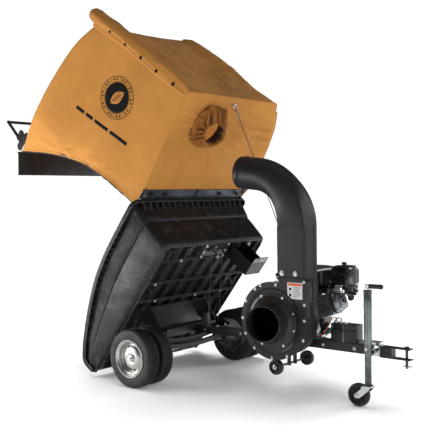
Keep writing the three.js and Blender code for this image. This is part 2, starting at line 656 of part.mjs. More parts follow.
// The foot box hangs under the tub's nose: an open channel with a gripped tread plate.
const STEP = { x0: 494, x1: 590, y0: 190, y1: 345, depth: 190 };
const stepWalls = [
  box(STEP.x0, STEP.x1, STEP.y0, STEP.y0 + 4, padZ - STEP.depth, padZ),
  box(STEP.x0, STEP.x1, STEP.y1 - 4, STEP.y1, padZ - STEP.depth, padZ),
  box(STEP.x0, STEP.x0 + 4, STEP.y0, STEP.y1, padZ - STEP.depth, padZ),
  box(STEP.x0, STEP.x1 + 46, STEP.y0, STEP.y1, padZ - STEP.depth - 4, padZ - STEP.depth + 1),
];
piece(tubGroup, 'foot_box', join(...stepWalls), FINISH.powder);

const latchPlate = join(
  box(505, 625, -120, 130, padZ - 4, padZ),
  box(572, 604, -75, 75, padZ - 16, padZ - 3),
);
piece(tubGroup, 'latch_plate', latchPlate, FINISH.powder);

/** A cable that stops the tub at its dumped angle. */
function limitCable(name, y, foot) {
  const top = V(590, y, padZ - 18);
  piece(tubGroup, name, bar(inTub(foot.x, y, foot.z), top, 1.8, 8), FINISH.rope);
}
limitCable('limit_cable_near', -50, V(171, 0, 392));
limitCable('limit_cable_far', 59, V(165, 0, 338));

// ---------------------------------------------------------------- cover
const roofLine = [
  FACE.top, [-40, COVER.roofZ - 1], [-500, COVER.roofZ], [-880, COVER.roofZ], [-923, 736],
  [-1012, 620], [-1156, 270], [-1218, -53], [REAR_HEM.x, REAR_HEM.z],
];
const skirtLine = [[-896, -199], [-591, -93], [-326, -59], [-162, -54], [-60, -30]];
const coverSide = [FACE.bottom, ...roofLine, ...skirtLine];

/** The side view shrunk by an inset, open past the skirt. */
const insideRoof = [
  [-2, 60], [-20, 731], [-46, COVER.roofZ - 11], [-500, COVER.roofZ - 10], [-874, COVER.roofZ - 10],
  [-914, 728], [-1002, 614], [-1146, 268], [-1208, -52], [-1204, -352],
  [-1235, -500], [-900, -460], [-500, -300], [40, -200],
];

function endOutline(inset) {
  const slope = (COVER.skirtHalf - COVER.roofHalf) / (COVER.roofZ - COVER.skirtZ);
  const half = (z) => COVER.skirtHalf - inset - slope * Math.max(0, z - COVER.skirtZ);
  const shoulder = 26;
  const top = COVER.roofZ - inset;
  const foot = [half(0) - COVER.tuck, -600];
  const roof = [[half(top) - 9, top - 8], [half(top) - shoulder, top]];
  const neck = [half(top - shoulder), top - shoulder];
  const far = [foot, ...FAR_BELLY.map(([z, out]) => [half(z) + out, z]), neck];
  const near = [foot, [half(0), COVER.skirtZ], neck];
  const left = [...near, ...roof].map(([y, z]) => [-y, z]).reverse();
  return [...far, ...roof, ...left];
}

/** The end view carried along X. */
function endProfile(inset) {
  const geometry = new THREE.ExtrudeGeometry(
    new THREE.Shape(endOutline(inset).map(([y, z]) => new THREE.Vector2(y, z))),
    { depth: 1600, bevelEnabled: false },
  );
  geometry.rotateX(Math.PI / 2);
  geometry.rotateZ(Math.PI / 2);
  geometry.translate(-1500, 0, 0);
  return solid(geometry);
}

const coverOuter = profile(coverSide, -560, 560).intersect(endProfile(0));
const coverHollow = profile(insideRoof, -560, 560).intersect(endProfile(COVER.skin));
const faceAlong = V(FACE.top[0] - FACE.bottom[0], 0, FACE.top[1] - FACE.bottom[1]).normalize();
const faceOut = V(faceAlong.z, 0, -faceAlong.x);

/** A slab that follows the front panel, between two depths behind its face. */
function faceSlab(nearer, deeper) {
  const at = (t, depth) => {
    const point = V(FACE.bottom[0], 0, FACE.bottom[1]).addScaledVector(faceAlong, t);
    return point.addScaledVector(faceOut, -depth);
  };
  const corners = [at(0, nearer), at(900, nearer), at(900, deeper), at(0, deeper)];
  return profile(corners.map((p) => [p.x, p.z]), -700, 700);
}

const behindFace = coverOuter.subtract(faceSlab(-60, COVER.skin + GAP));
const shellBand = behindFace.subtract(coverHollow).subtract(box(-30, 80, -700, 700, -60, 68.2));
piece(coverGroup, 'cover_shell', shellBand, FINISH.canvas);

const facePanel = coverOuter.intersect(faceSlab(0, COVER.skin)).subtract(box(-60, 80, -700, 700, -60, 68.6));
const facePoint = (z) => FACE.bottom[0] + ((z - FACE.bottom[1]) * faceAlong.x) / faceAlong.z;
const sleeveCentre = V(facePoint(SLEEVE.z), SLEEVE.y, SLEEVE.z);
const sleeveAt = (out) => sleeveCentre.clone().addScaledVector(faceOut, out);
const inletHole = bar(sleeveAt(-40), sleeveAt(40), SLEEVE.hole, 24);
piece(coverGroup, 'cover_front_panel', facePanel.subtract(inletHole), FINISH.canvas);

/** The gathered inlet sleeve droops a little from base to mouth. */
function sleeveRing(out, radius, droop) {
  const ring = [];
  for (let k = 0; k < 20; k += 1) {
    const a = (2 * Math.PI * k) / 20;
    const point = sleeveAt(out).addScaledVector(faceAlong, radius * Math.sin(a) - droop);
    point.y += radius * Math.cos(a);
    ring.push(point);
  }
  return ring;
}
const sleeveLength = SLEEVE.length;
const sleeveOuter = loft([
  sleeveRing(GAP, SLEEVE.base, 0), sleeveRing(25, SLEEVE.base - 8, 4),
  sleeveRing(65, 104, 22), sleeveRing(sleeveLength, SLEEVE.mouth, 48),
]);
const sleeveInner = loft([
  sleeveRing(-20, SLEEVE.base - 9, 0), sleeveRing(25, SLEEVE.base - 17, 4),
  sleeveRing(65, 94, 22), sleeveRing(sleeveLength + 10, SLEEVE.mouth - 12, 54),
]);
piece(coverGroup, 'inlet_sleeve', sleeveOuter.subtract(sleeveInner), FINISH.canvas);

/** Rolled-up vent hoods lie along both shoulders, fat at the tail. */
const ROLLS = {
  near: {
    y: -438,
    stations: [[-1046, 16, 792], [-1034, 38, 787], [-960, 42, 790], [-500, 28, 776], [-90, 12, 760]],
  },
  far: {
    y: 442,
    stations: [[-1004, 8, 763], [-990, 17, 766], [-600, 22, 771], [-300, 14, 763], [-90, 7, 755]],
  },
};
for (const [label, roll] of Object.entries(ROLLS)) {
  const rings = roll.stations.map(([x, radius, z]) => {
    const ring = [];
    for (let k = 0; k < 14; k += 1) {
      const a = (2 * Math.PI * k) / 14;
      ring.push(V(x, roll.y + 1.2 * radius * Math.cos(a), z + radius * Math.sin(a)));
    }
    return ring;
  });
  piece(coverGroup, `vent_roll_${label}`, loft(rings), FINISH.canvas);
}

// The steel hoop frame that carries the fabric.
const frameR = 11;
const hoop = (x, z, half) => [V(x, -half, z), V(x, half, z)];
const [railY, tailY] = [486, 474];
const frameParts = [
  bentBar([V(-50, -railY, 6), V(-560, -railY, -66), V(-890, -tailY - 8, -170), V(-1186, -tailY, -318),
    V(-1186, tailY, -318), V(-890, tailY + 8, -170), V(-560, railY, -66), V(-50, railY, 6)], frameR),
  bentBar([V(-50, -railY, 6), V(-72, -435, 700), V(-72, 435, 700), V(-50, railY, 6)], frameR),
  bar(...hoop(-50, 6, railY), frameR, 8),
  bentBar(
    [V(-890, -tailY - 8, -170), V(-890, -435, 700), V(-890, 435, 700), V(-890, tailY + 8, -170)],
    frameR,
  ),
];
piece(coverGroup, 'cover_frame', join(...frameParts), FINISH.powder);

for (const [label, y0, y1] of [['near', -478, -7], ['far', 7, 478]]) {
  const plate = box(8.5, 14, y0, y1, 8, 66);
  const tail = box(-6, 10, y0, y1, 8, 20);
  piece(coverGroup, `hinge_bar_${label}`, join(plate, tail), FINISH.hingeBar);
}

// Bail handle across the tail, with its two plates.
const bailEnd = V(-1246, 0, -292);
const bailReach = V(-1500, 0, -266);
const bailY = 492;
const bail = bentBar(
  [V(bailEnd.x, -bailY, bailEnd.z), V(bailReach.x + 40, -bailY, bailReach.z + 22),
    V(bailReach.x, -bailY + 34, bailReach.z), V(bailReach.x, bailY - 34, bailReach.z),
    V(bailReach.x + 40, bailY, bailReach.z + 22), V(bailEnd.x, bailY, bailEnd.z)],
  11,
);
const bailPlates = [-1, 1].map((s) => {
  const y = s * bailY;
  const plate = [[-1222, -352], [-1200, -214], [-1228, -206], [-1268, -270], [-1262, -346]];
  return profile(plate, y - 6, y + 6);
});
const bailBody = join(bail, ...bailPlates).subtract(grownShell());
piece(coverGroup, 'bail_handle', bailBody, FINISH.powder);

/** The cover's outer shape moved back a hair, to trim what rests on it. */
function grownShell() {
  return coverOuter.translate([-GAP, 0, 0]).add(coverOuter);
}

const flapBody = join(
  box(-2, 2, -505, 505, -165, -6),
  bar(V(0, -505, -4), V(0, 505, -4), 5, 8),
);
piece(flapGroup, 'rear_flap', flapBody, FINISH.vinyl);

// ---------------------------------------------------------------- cover cable
const cableTop = coverToMachine(facePoint(690) + 4, 0, 690);
const cableFoot = V(812, BLOWER.yBack + 4, 905);
piece(machine, 'cover_cable', bar(cableFoot, cableTop, 2.2, 8), FINISH.rope);

export default machine;
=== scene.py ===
"""Looks of the tow-behind leaf vacuum mulcher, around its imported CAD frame.

Shapes are drawn in millimetres in a local frame (MACHINE, TUB, COVER, FLAP or CYLINDER)
and carried into the row frame, in metres, when a piece is made.
"""

import math

import bmesh
import bpy
from mathutils import Matrix, Vector, noise
from mathutils.bvhtree import BVHTree


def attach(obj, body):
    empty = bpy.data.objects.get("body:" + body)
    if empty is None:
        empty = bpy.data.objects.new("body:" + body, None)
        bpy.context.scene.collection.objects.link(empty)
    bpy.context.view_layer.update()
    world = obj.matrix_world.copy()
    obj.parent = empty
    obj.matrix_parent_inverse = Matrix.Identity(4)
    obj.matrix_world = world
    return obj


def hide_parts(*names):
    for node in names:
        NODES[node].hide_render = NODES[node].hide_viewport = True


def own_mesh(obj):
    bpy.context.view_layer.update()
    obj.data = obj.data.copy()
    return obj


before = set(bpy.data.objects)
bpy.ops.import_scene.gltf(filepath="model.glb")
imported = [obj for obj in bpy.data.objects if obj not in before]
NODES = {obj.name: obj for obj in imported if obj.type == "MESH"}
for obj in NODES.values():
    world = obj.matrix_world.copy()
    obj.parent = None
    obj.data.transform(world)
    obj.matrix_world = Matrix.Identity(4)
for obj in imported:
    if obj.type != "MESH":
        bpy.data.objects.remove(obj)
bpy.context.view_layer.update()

# ---------------------------------------------------------------- frames
MM = Matrix.Diagonal((0.001, 0.001, 0.001, 1.0))
DUMP = math.radians(52.2)  # the tub's pitch at rest
COVER_PITCH = math.radians(32.2)  # the open cover's pitch at rest
PIVOT = Vector((-0.154, 0.0, 0.300))
HINGE = Vector((734, 0, 483))  # in the tub's frame
REAR_HEM = Vector((-1215, 0, -356))  # in the cover's frame

MACHINE = Matrix.Translation((-0.094, 0, 0)) @ MM
TUB = Matrix.Translation(PIVOT) @ Matrix.Rotation(-DUMP, 4, "Y") @ MM
COVER = Matrix.Translation(TUB @ HINGE) @ Matrix.Rotation(COVER_PITCH, 4, "Y") @ MM
FLAP = Matrix.Translation(COVER @ (REAR_HEM + Vector((-14, 0, -12)))) @ MM
BLOWER = Vector((833, 0, 450))
CYLINDER = MACHINE @ Matrix.Translation((833, 105, 450)) @ Matrix.Rotation(math.radians(-21), 4, "Y")


# ---------------------------------------------------------------- shapes
def lerp(a, b, t):
    return a + (b - a) * t


def square_to(axis):
    """Two unit vectors square to an axis and to each other."""
    helper = Vector((0, 0, 1)) if abs(axis.z) < 0.9 else Vector((1, 0, 0))
    side = axis.cross(helper).normalized()
    return side, axis.cross(side).normalized()


def spline(points, count, closed=False):
    """Points evenly spaced along a Catmull-Rom curve through the given ones."""
    known = [Vector(p) for p in points]
    last = len(known) if closed else len(known) - 1
    dense = []
    for i in range(last):
        if closed:
            p = [known[(i + k - 1) % len(known)] for k in range(4)]
        else:
            p = [known[min(max(i + k - 1, 0), len(known) - 1)] for k in range(4)]
        for step in range(24):
            t = step / 24
            dense.append(
                0.5
                * (
                    2 * p[1]
                    + (p[2] - p[0]) * t
                    + (2 * p[0] - 5 * p[1] + 4 * p[2] - p[3]) * t**2
                    + (3 * p[1] - p[0] - 3 * p[2] + p[3]) * t**3
                )
            )
    dense.append(known[0] if closed else known[-1])
    return evenly(dense, count)


def evenly(points, count):
    """Points evenly spaced along a polyline."""
    points = [Vector(p) for p in points]
    run = [0.0]
    for a, b in zip(points, points[1:]):
        run.append(run[-1] + (b - a).length)
    found, i = [], 0
    for k in range(count):
        want = run[-1] * k / (count - 1)
        while i < len(points) - 2 and run[i + 1] < want:
            i += 1
        gap = run[i + 1] - run[i]
        found.append(points[i].lerp(points[i + 1], (want - run[i]) / gap if gap else 0))
    return found


class Shape:
    """Points and faces in millimetres, gathered until a piece is made of them."""

    def __init__(self):
        self.points = []
        self.faces = []

    def add(self, points, faces):
        start = len(self.points)
        self.points.extend(Vector(p) for p in points)
        self.faces.extend([start + i for i in face] for face in faces)
        return self

    def rings(self, rings, caps=True, closed=True):
        """A skin through rings of equal count."""
        n = len(rings[0])
        faces = []
        for r in range(len(rings) - 1):
            for k in range(n if closed else n - 1):
                a, b = r * n + k, r * n + (k + 1) % n
                faces.append((a, b, b + n, a + n))
        if caps:
            end = (len(rings) - 1) * n
            faces += [tuple(reversed(range(n))), tuple(range(end, end + n))]
        return self.add([p for ring in rings for p in ring], faces)

    def box(self, x0, x1, y0, y1, z0, z1):
        corners = ((x0, y0), (x1, y0), (x1, y1), (x0, y1))
        return self.rings([[(x, y, z) for x, y in corners] for z in (z0, z1)])

    def bar(self, a, b, radius, sides=24, radius_b=None):
        """A round bar from a to b, which may taper to radius_b."""
        a, b = Vector(a), Vector(b)
        u, v = square_to((b - a).normalized())
        ends = ((a, radius), (b, radius if radius_b is None else radius_b))
        return self.rings(
            [[c + (u * math.cos(t) + v * math.sin(t)) * r for t in angles(sides)] for c, r in ends]
        )

    def stack(self, start, axis, levels, sides=32):
        """A turned solid: levels are (distance along the axis, radius)."""
        start, axis = Vector(start), Vector(axis).normalized()
        u, v = square_to(axis)
        return self.rings(
            [
                [start + axis * d + (u * math.cos(t) + v * math.sin(t)) * r for t in angles(sides)]
                for d, r in levels
            ]
        )

    def tube(self, path, radius, sides=12, closed=False):
        """A round bar along a path."""
        path = [Vector(p) for p in path]
        u, _ = square_to((path[1] - path[0]).normalized())
        rings = []
        for i, p in enumerate(path):
            before = path[i - 1] if i or closed else p
            after = path[(i + 1) % len(path)] if i < len(path) - 1 or closed else p
            heading = (after - before).normalized()
            u = (u - heading * u.dot(heading)).normalized()
            v = heading.cross(u)
            rings.append([p + (u * math.cos(t) + v * math.sin(t)) * radius for t in angles(sides)])
        if closed:
            rings.append(rings[0])
        return self.rings(rings, caps=not closed)

    def prism(self, outline, y0, y1):
        """A side-view outline (x, z) carried across from y0 to y1."""
        return self.rings([[(x, y, z) for x, z in outline] for y in (y0, y1)])

    def turned(self, outline, sides, centre, wobble=None):
        """A closed (radius, y) outline turned about the Y axis; wobble(i, k) moves a radius."""
        centre = Vector(centre)
        rings = []
        for k, t in enumerate(angles(sides)):
            ring = []
            for i, (r, y) in enumerate(outline):
                r += wobble(i, k) if wobble else 0
                ring.append(centre + Vector((r * math.cos(t), y, r * math.sin(t))))
            rings.append(ring)
        rings.append(rings[0])
        return self.rings(rings, caps=False)

    def bolt(self, at, axis, size=8.0, washer=True):
        """A hexagon head on its washer, with the end of its thread."""
        at, axis = Vector(at), Vector(axis).normalized()
        if washer:
            self.stack(at, axis, [(0, size * 1.35), (size * 0.18, size * 1.35)], 20)
        base = at + axis * size * 0.18
        levels = [(0, size), (size * 0.5, size), (size * 0.68, size * 0.8)]
        self.stack(base, axis, levels, 6)
        tip = [(size * 0.6, size * 0.5), (size * 0.95, size * 0.5), (size * 1.05, size * 0.4)]
        return self.stack(base, axis, tip, 12)

    def bolts(self, spots, axis, size=8.0):
        """The same bolt at several places."""
        for spot in spots:
            self.bolt(spot, axis, size)
        return self

    def sheet(self, rows):
        """An open skin through rows of equal count."""
        return self.rings(rows, caps=False, closed=False)


def angles(sides):
    return [2 * math.pi * k / sides for k in range(sides)]


def add_to_scene(thing):
    bpy.context.scene.collection.objects.link(thing)


def soften(piece, width):
    """Bevels a piece's sharp edges, in millimetres."""
    edge = piece.modifiers.new("edge", "BEVEL")
    edge.width = width / 1000
    edge.segments = 2
    edge.limit_method = "ANGLE"
    edge.angle_limit = math.radians(35)


def make(name, shape, body, look, place=MACHINE, bevel=0.0, shell=0.0, smooth=38, replaces=(),
         closed=True):
    """A Blender piece from a shape, riding on a body.

    shell is the thickness added to an open skin, inwards or, if negative, outwards. smooth is
    the angle in degrees up to which an edge is shaded softly. A skin that isn't closed keeps
    the way its faces already look.
    """
    mesh = bpy.data.meshes.new(name)
    mesh.from_pydata([place @ p for p in shape.points], [], shape.faces)
    mesh.materials.append(look.material)
    work = bmesh.new()
    work.from_mesh(mesh)
    bmesh.ops.remove_doubles(work, verts=work.verts, dist=1e-6)
    if closed:
        bmesh.ops.recalc_face_normals(work, faces=work.faces)
    work.to_mesh(mesh)
    work.free()
    mesh.polygons.foreach_set("use_smooth", [True] * len(mesh.polygons))
    mesh.set_sharp_from_angle(angle=math.radians(smooth))
    piece = bpy.data.objects.new(name, mesh)
    add_to_scene(piece)
    if shell:
        skin = piece.modifiers.new("skin", "SOLIDIFY")
        skin.thickness = abs(shell) / 1000
        skin.offset = -1 if shell > 0 else 1
    if bevel:
        soften(piece, bevel)
    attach(piece, body)
    if replaces:
        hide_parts(*replaces)
    return piece


def dress(node, look, bevel):
    """A CAD node keeps its shape; it gets a finish and softened edges."""
    piece = NODES[node]
    piece.data.materials.clear()
    piece.data.materials.append(look.material)
    weld = piece.modifiers.new("weld", "WELD")
    weld.merge_threshold = 1e-5
    soften(piece, bevel)


# ---------------------------------------------------------------- finishes
def rgb(red, green, blue):
    """An 8-bit display colour as linear light."""
    return tuple(
        c / 255 / 12.92 if c <= 10 else ((c / 255 + 0.055) / 1.055) ** 2.4 for c in (red, green, blue)
    ) + (1.0,)


class Look:
    """A procedural finish: patches of two tones, scuffs, uneven gloss and a fine relief."""

    def __init__(self, name, slot, **sockets):
        self.slot = slot
        self.material = bpy.data.materials.new(name)
        self.material.use_nodes = True
        self.tree = self.material.node_tree
        self.shader = self.tree.nodes["Principled BSDF"]
        for socket, value in sockets.items():
            self.shader.inputs[socket.replace("_", " ")].default_value = value
        self.where = self.node("ShaderNodeTexCoord").outputs["Object"]
        self.colour = None

    def node(self, kind, inputs=None, **fields):
        made = self.tree.nodes.new(kind)
        for field, value in fields.items():
            setattr(made, field, value)
        for socket, value in (inputs or {}).items():
            if isinstance(value, bpy.types.NodeSocket):
                self.tree.links.new(value, made.inputs[socket])
            else:
                made.inputs[socket].default_value = value
        return made

    def turned(self, stretch=(1, 1, 1), pitch=0.0):
        inputs = {"Vector": self.where, "Scale": stretch, "Rotation": (0, pitch, 0)}
        return self.node("ShaderNodeMapping", inputs).outputs[0]

    def grain(self, scale, detail=4.0, roughness=0.55, stretch=(1, 1, 1), pitch=0.0, twist=0.0):
        inputs = {
            "Vector": self.turned(stretch, pitch),
            "Scale": scale,
            "Detail": detail,
            "Roughness": roughness,
            "Distortion": twist,
        }
        return self.node("ShaderNodeTexNoise", inputs).outputs["Fac"]

    def span(self, value, low, high, to_low=0.0, to_high=1.0):
        inputs = {"Value": value, "From Min": low, "From Max": high, "To Min": to_low, "To Max": to_high}
        return self.node("ShaderNodeMapRange", inputs).outputs[0]

    def maths(self, operation, a, b):
        return self.node("ShaderNodeMath", {0: a, 1: b}, operation=operation).outputs[0]

    def mix(self, share, a, b):
        return self.node("ShaderNodeMix", {0: share, 6: a, 7: b}, data_type="RGBA").outputs[2]

    def tones(self, dark, light, scale, low=0.35, high=0.65, **kwargs):
        """Base colour in soft patches of two tones."""
        self.colour = self.mix(self.span(self.grain(scale, **kwargs), low, high), dark, light)
        return self

    def over(self, colour, scale, low, high, strength=1.0, **kwargs):
        """A third tone laid over, where the grain is high: scuffs, dust or stains."""
        share = self.span(self.grain(scale, **kwargs), low, high, 0.0, strength)
        self.colour = self.mix(share, self.colour, colour)
        return self

    def rubbed_and_highlit_edges(self, colour, low=0.52, high=0.62, strength=0.6):
        """Edges rubbed to another tone, partly real wear and partly a painted highlight."""
        edge = self.node("ShaderNodeNewGeometry").outputs["Pointiness"]
        share = self.maths("MULTIPLY", self.span(edge, low, high, 0, strength), self.grain(30))
        self.colour = self.mix(self.maths("MULTIPLY", share, 1.6), self.colour, colour)
        return self

    def gloss(self, low, high, scale=12.0, **kwargs):
        rough = self.span(self.grain(scale, **kwargs), 0.3, 0.7, low, high)
        self.tree.links.new(rough, self.shader.inputs["Roughness"])
        return self

    def relief(self, height, strength, depth=0.001):
        inputs = {"Height": height, "Strength": strength, "Distance": depth}
        bump = self.node("ShaderNodeBump", inputs).outputs[0]
        self.tree.links.new(bump, self.shader.inputs["Normal"])
        return self

    def weave(self, period, pitch=0.0):
        """Crossed threads along the three directions of the cloth's own frame."""
        total = None
        for axis in "XYZ":
            inputs = {"Vector": self.turned((1, 1, 1), pitch), "Scale": 0.314 / period, "Distortion": 0.6}
            band = self.node("ShaderNodeTexWave", inputs, bands_direction=axis).outputs["Fac"]
            total = band if total is None else self.maths("ADD", total, band)
        return total

    def done(self):
        self.tree.links.new(self.colour, self.shader.inputs["Base Color"])
        return self


def painted(name, slot, dark, light, rough, scale=9.0, peel=0.12, **sockets):
    """Paint, powder coat or moulded plastic."""
    look = Look(name, slot, **sockets).tones(dark, light, scale)
    look.over(rgb(120, 116, 110), 70, 0.66, 0.8, 0.16, detail=6)
    look.gloss(*rough)
    return look.relief(look.grain(900, 2), peel, 0.0004).done()


def metal(name, slot, dark, light, rough, scale=14.0, brushed=(1, 1, 1), **sockets):
    """Bare or plated metal, with fine brushing and dull patches."""
    look = Look(name, slot, Metallic=1.0, **sockets).tones(dark, light, scale, detail=5)
    look.over(rgb(96, 94, 88), 46, 0.62, 0.78, 0.35, detail=6)
    look.gloss(*rough, scale=26, stretch=brushed)
    return look.relief(look.grain(420, 3, stretch=brushed), 0.18, 0.0003).done()


# ---------------------------------------------------------------- camera, floor and light
SKY = 0.1  # strength of the light from all round
FLOOR_GLOW = 0.12


def aim_camera():
    around, down, roll = (math.radians(a) for a in (39.68, 1.89, -0.78))
    ahead = Vector(
        (-math.sin(around) * math.cos(down), math.cos(around) * math.cos(down), -math.sin(down))
    )
    right = Vector((math.cos(around), math.sin(around), 0))
    up = right.cross(ahead)
    right, up = (
        right * math.cos(roll) + up * math.sin(roll),
        up * math.cos(roll) - right * math.sin(roll),
    )
    lens = bpy.data.cameras.new("camera")
    lens.lens = 63.8
    lens.sensor_width = 36
    lens.clip_end = 200
    camera = bpy.data.objects.new("camera", lens)
    camera.matrix_world = Matrix.Translation((3.4066, -3.9278, 1.1947)) @ Matrix(
        (right, up, -ahead)
    ).transposed().to_4x4()
    add_to_scene(camera)
    bpy.context.scene.camera = camera


def lay_floor():
    """A pale seamless sheet that fades the shadows out softly."""
    look = Look("studio_floor", None, Roughness=0.9)
    look.tones((0.86, 0.86, 0.86, 1), (0.9, 0.9, 0.9, 1), 0.8)
    look.shader.inputs["Emission Color"].default_value = (1, 1, 1, 1)
    look.shader.inputs["Emission Strength"].default_value = FLOOR_GLOW
    look.shader.inputs["Specular IOR Level"].default_value = 0.1
    look.done()
    shape = Shape()
    rows = [[(x * 4000, y * 4000, -0.5) for x in range(-10, 11)] for y in range(-10, 11)]
    shape.sheet(rows)
    mesh = bpy.data.meshes.new("studio_floor")
    mesh.from_pydata([MM @ p for p in shape.points], [], shape.faces)
    mesh.materials.append(look.material)
    floor = bpy.data.objects.new("studio_floor", mesh)
    add_to_scene(floor)


def light_world():
    """White behind the machine, dimmer light on it."""
    world = bpy.data.worlds.new("studio")
    world.use_nodes = True
    tree = world.node_tree
    backdrop = tree.nodes["Background"]
    backdrop.inputs["Color"].default_value = (1, 1, 1, 1)
    backdrop.inputs["Strength"].default_value = 1.05
    fill = tree.nodes.new("ShaderNodeBackground")
    fill.inputs["Color"].default_value = (0.96, 0.98, 1, 1)
    fill.inputs["Strength"].default_value = SKY
    seen = tree.nodes.new("ShaderNodeLightPath")
    both = tree.nodes.new("ShaderNodeMixShader")
    tree.links.new(seen.outputs["Is Camera Ray"], both.inputs[0])
    tree.links.new(fill.outputs[0], both.inputs[1])
    tree.links.new(backdrop.outputs[0], both.inputs[2])
    tree.links.new(both.outputs[0], tree.nodes["World Output"].inputs["Surface"])
    bpy.context.scene.world = world


def panel_light(name, at, towards, size, power, colour=(1, 1, 1)):
    data = bpy.data.lights.new(name, "AREA")
    data.shape = "RECTANGLE"
    data.size, data.size_y = size
    data.energy = power
    data.color = colour
    lamp = bpy.data.objects.new(name, data)
    lamp.location = at
    lamp.rotation_euler = (Vector(towards) - Vector(at)).to_track_quat("-Z", "Y").to_euler()
    add_to_scene(lamp)


def floor_light(strength):
    """A wide overhead light that only the floor takes, so that the machine's shadow shows."""
    data = bpy.data.lights.new("floor_light", "SUN")
    data.energy = strength
    data.angle = math.radians(50)
    lamp = bpy.data.objects.new("floor_light", data)
    lamp.rotation_euler = (math.radians(-10), math.radians(-24), 0)
    add_to_scene(lamp)
    floor_only = bpy.data.collections.new("floor_only")
    floor_only.objects.link(bpy.data.objects["studio_floor"])
    lamp.light_linking.receiver_collection = floor_only


aim_camera()
lay_floor()
light_world()
bpy.context.scene.view_settings.view_transform = "Standard"
floor_light(3.25)
panel_light("key", (-2.0, -2.0, 0.6), (-1.2, -0.5, 1.1), (1.2, 0.8), 52)
panel_light("front", (4.6, -2.4, 3.0), (0.3, 0.0, 0.9), (1.2, 2.2), 36)
panel_light("top", (0.4, 0.4, 6.0), (0.0, 0.0, 0.0), (4.0, 4.0), 22)
panel_light("rim", (3.2, 4.4, 2.6), (0.4, 0.2, 0.9), (1.2, 2.6), 60)


# ---------------------------------------------------------------- the finishes used
def cloth(name, slot, dark, light, fold=0.5):
    """Woven canvas: threads, slubs, faint bleaching and a soft sheen."""
    look = Look(name, slot, Sheen_Weight=0.07, Sheen_Roughness=0.5, Specular_IOR_Level=0.22)
    look.tones(dark, light, 2.6, 0.3, 0.7, detail=5)
    look.over(light, 28, 0.5, 0.75, 0.35, detail=6)
    look.over(dark, 160, 0.58, 0.74, 0.4, detail=3, stretch=(1, 1, 3), pitch=-COVER_PITCH)
    look.gloss(0.72, 0.9, 9)
    threads = look.weave(0.0022, -COVER_PITCH)
    creases = look.span(look.grain(17, 5, 0.6, twist=0.8), 0.3, 0.7, 0, 7 * fold)
    return look.relief(look.maths("ADD", threads, creases), 0.35, 0.0006).done()


def moulded(name, slot):
    """Rotomoulded polyethylene, scuffed in use, with pale edges: partly rubbed wear and partly a painted
    highlight.
    """
    look = Look(name, slot, Specular_IOR_Level=0.16)
    look.tones((0.0035, 0.0035, 0.0037, 1), (0.011, 0.011, 0.0115, 1), 5, detail=6)
    look.over((0.075, 0.077, 0.083, 1), 9, 0.53, 0.66, 0.6, detail=8, roughness=0.7, twist=1.6)
    look.over((0.11, 0.11, 0.115, 1), 60, 0.6, 0.75, 0.3, detail=5, stretch=(1, 3, 1))
    look.over((0.045, 0.027, 0.014, 1), 3.0, 0.55, 0.8, 0.35)
    # pale edges: partly rubbed wear, partly a painted highlight on the corners
    look.rubbed_and_highlit_edges((0.16, 0.165, 0.175, 1), 0.51, 0.58, 0.5)
    look.gloss(0.28, 0.55, 6, detail=6)
    height = look.maths("ADD", look.grain(260, 3), look.span(look.grain(9, 4), 0, 1, 0, 5))
    return look.relief(height, 0.55, 0.0014).done()


def rubber(name, slot):
    """Dull rubber with dusty patches."""
    look = Look(name, slot, Specular_IOR_Level=0.4)
    look.tones((0.011, 0.011, 0.0115, 1), (0.024, 0.024, 0.025, 1), 22, detail=6)
    look.over((0.09, 0.088, 0.084, 1), 38, 0.6, 0.78, 0.22, detail=7)
    look.gloss(0.5, 0.72, 18)
    return look.relief(look.grain(520, 3), 0.25, 0.0005).done()


def printed(name, slot):
    """Flat black ink on cloth."""
    look = Look(name, slot, Specular_IOR_Level=0.12)
    look.tones((0.004, 0.004, 0.005, 1), (0.009, 0.009, 0.01, 1), 50)
    return look.gloss(0.75, 0.9, 30).done()


def stranded(name, slot):
    """Twisted wire rope."""
    look = metal(name, slot, (0.09, 0.09, 0.092, 1), (0.2, 0.2, 0.2, 1), (0.3, 0.5))
    inputs = {"Vector": look.where, "Scale": 110.0, "Distortion": 0.0}
    lay = look.node("ShaderNodeTexWave", inputs, bands_direction="DIAGONAL").outputs["Fac"]
    return look.relief(lay, 0.8, 0.001)


CANVAS = cloth("canvas_tan", "canvas", (0.47, 0.198, 0.036, 1), (0.61, 0.268, 0.051, 1))
CANVAS_ROLL = cloth("canvas_roll", "canvas", (0.43, 0.176, 0.035, 1), (0.57, 0.24, 0.05, 1), 1.2)
# painted shade: a dark copy of the canvas for the sleeve's shadowed inside
CANVAS_PAINTED_SHADE = cloth("canvas_painted_shade", "canvas", (0.05, 0.028, 0.012, 1), (0.085, 0.045, 0.018, 1))
VINYL = painted("vinyl_black", "black_vinyl", (0.008, 0.008, 0.009, 1), (0.02, 0.02, 0.022, 1),
                (0.3, 0.5), 14, 0.3)
BINDING = painted("edge_binding", "black_vinyl", (0.02, 0.022, 0.026, 1), (0.045, 0.05, 0.058, 1),
                  (0.5, 0.7), 40, 0.3)
THREAD = painted("seam_thread", "canvas", (0.13, 0.035, 0.012, 1), (0.2, 0.06, 0.02, 1), (0.6, 0.8), 60)
INK = printed("printed_ink", "black_vinyl")
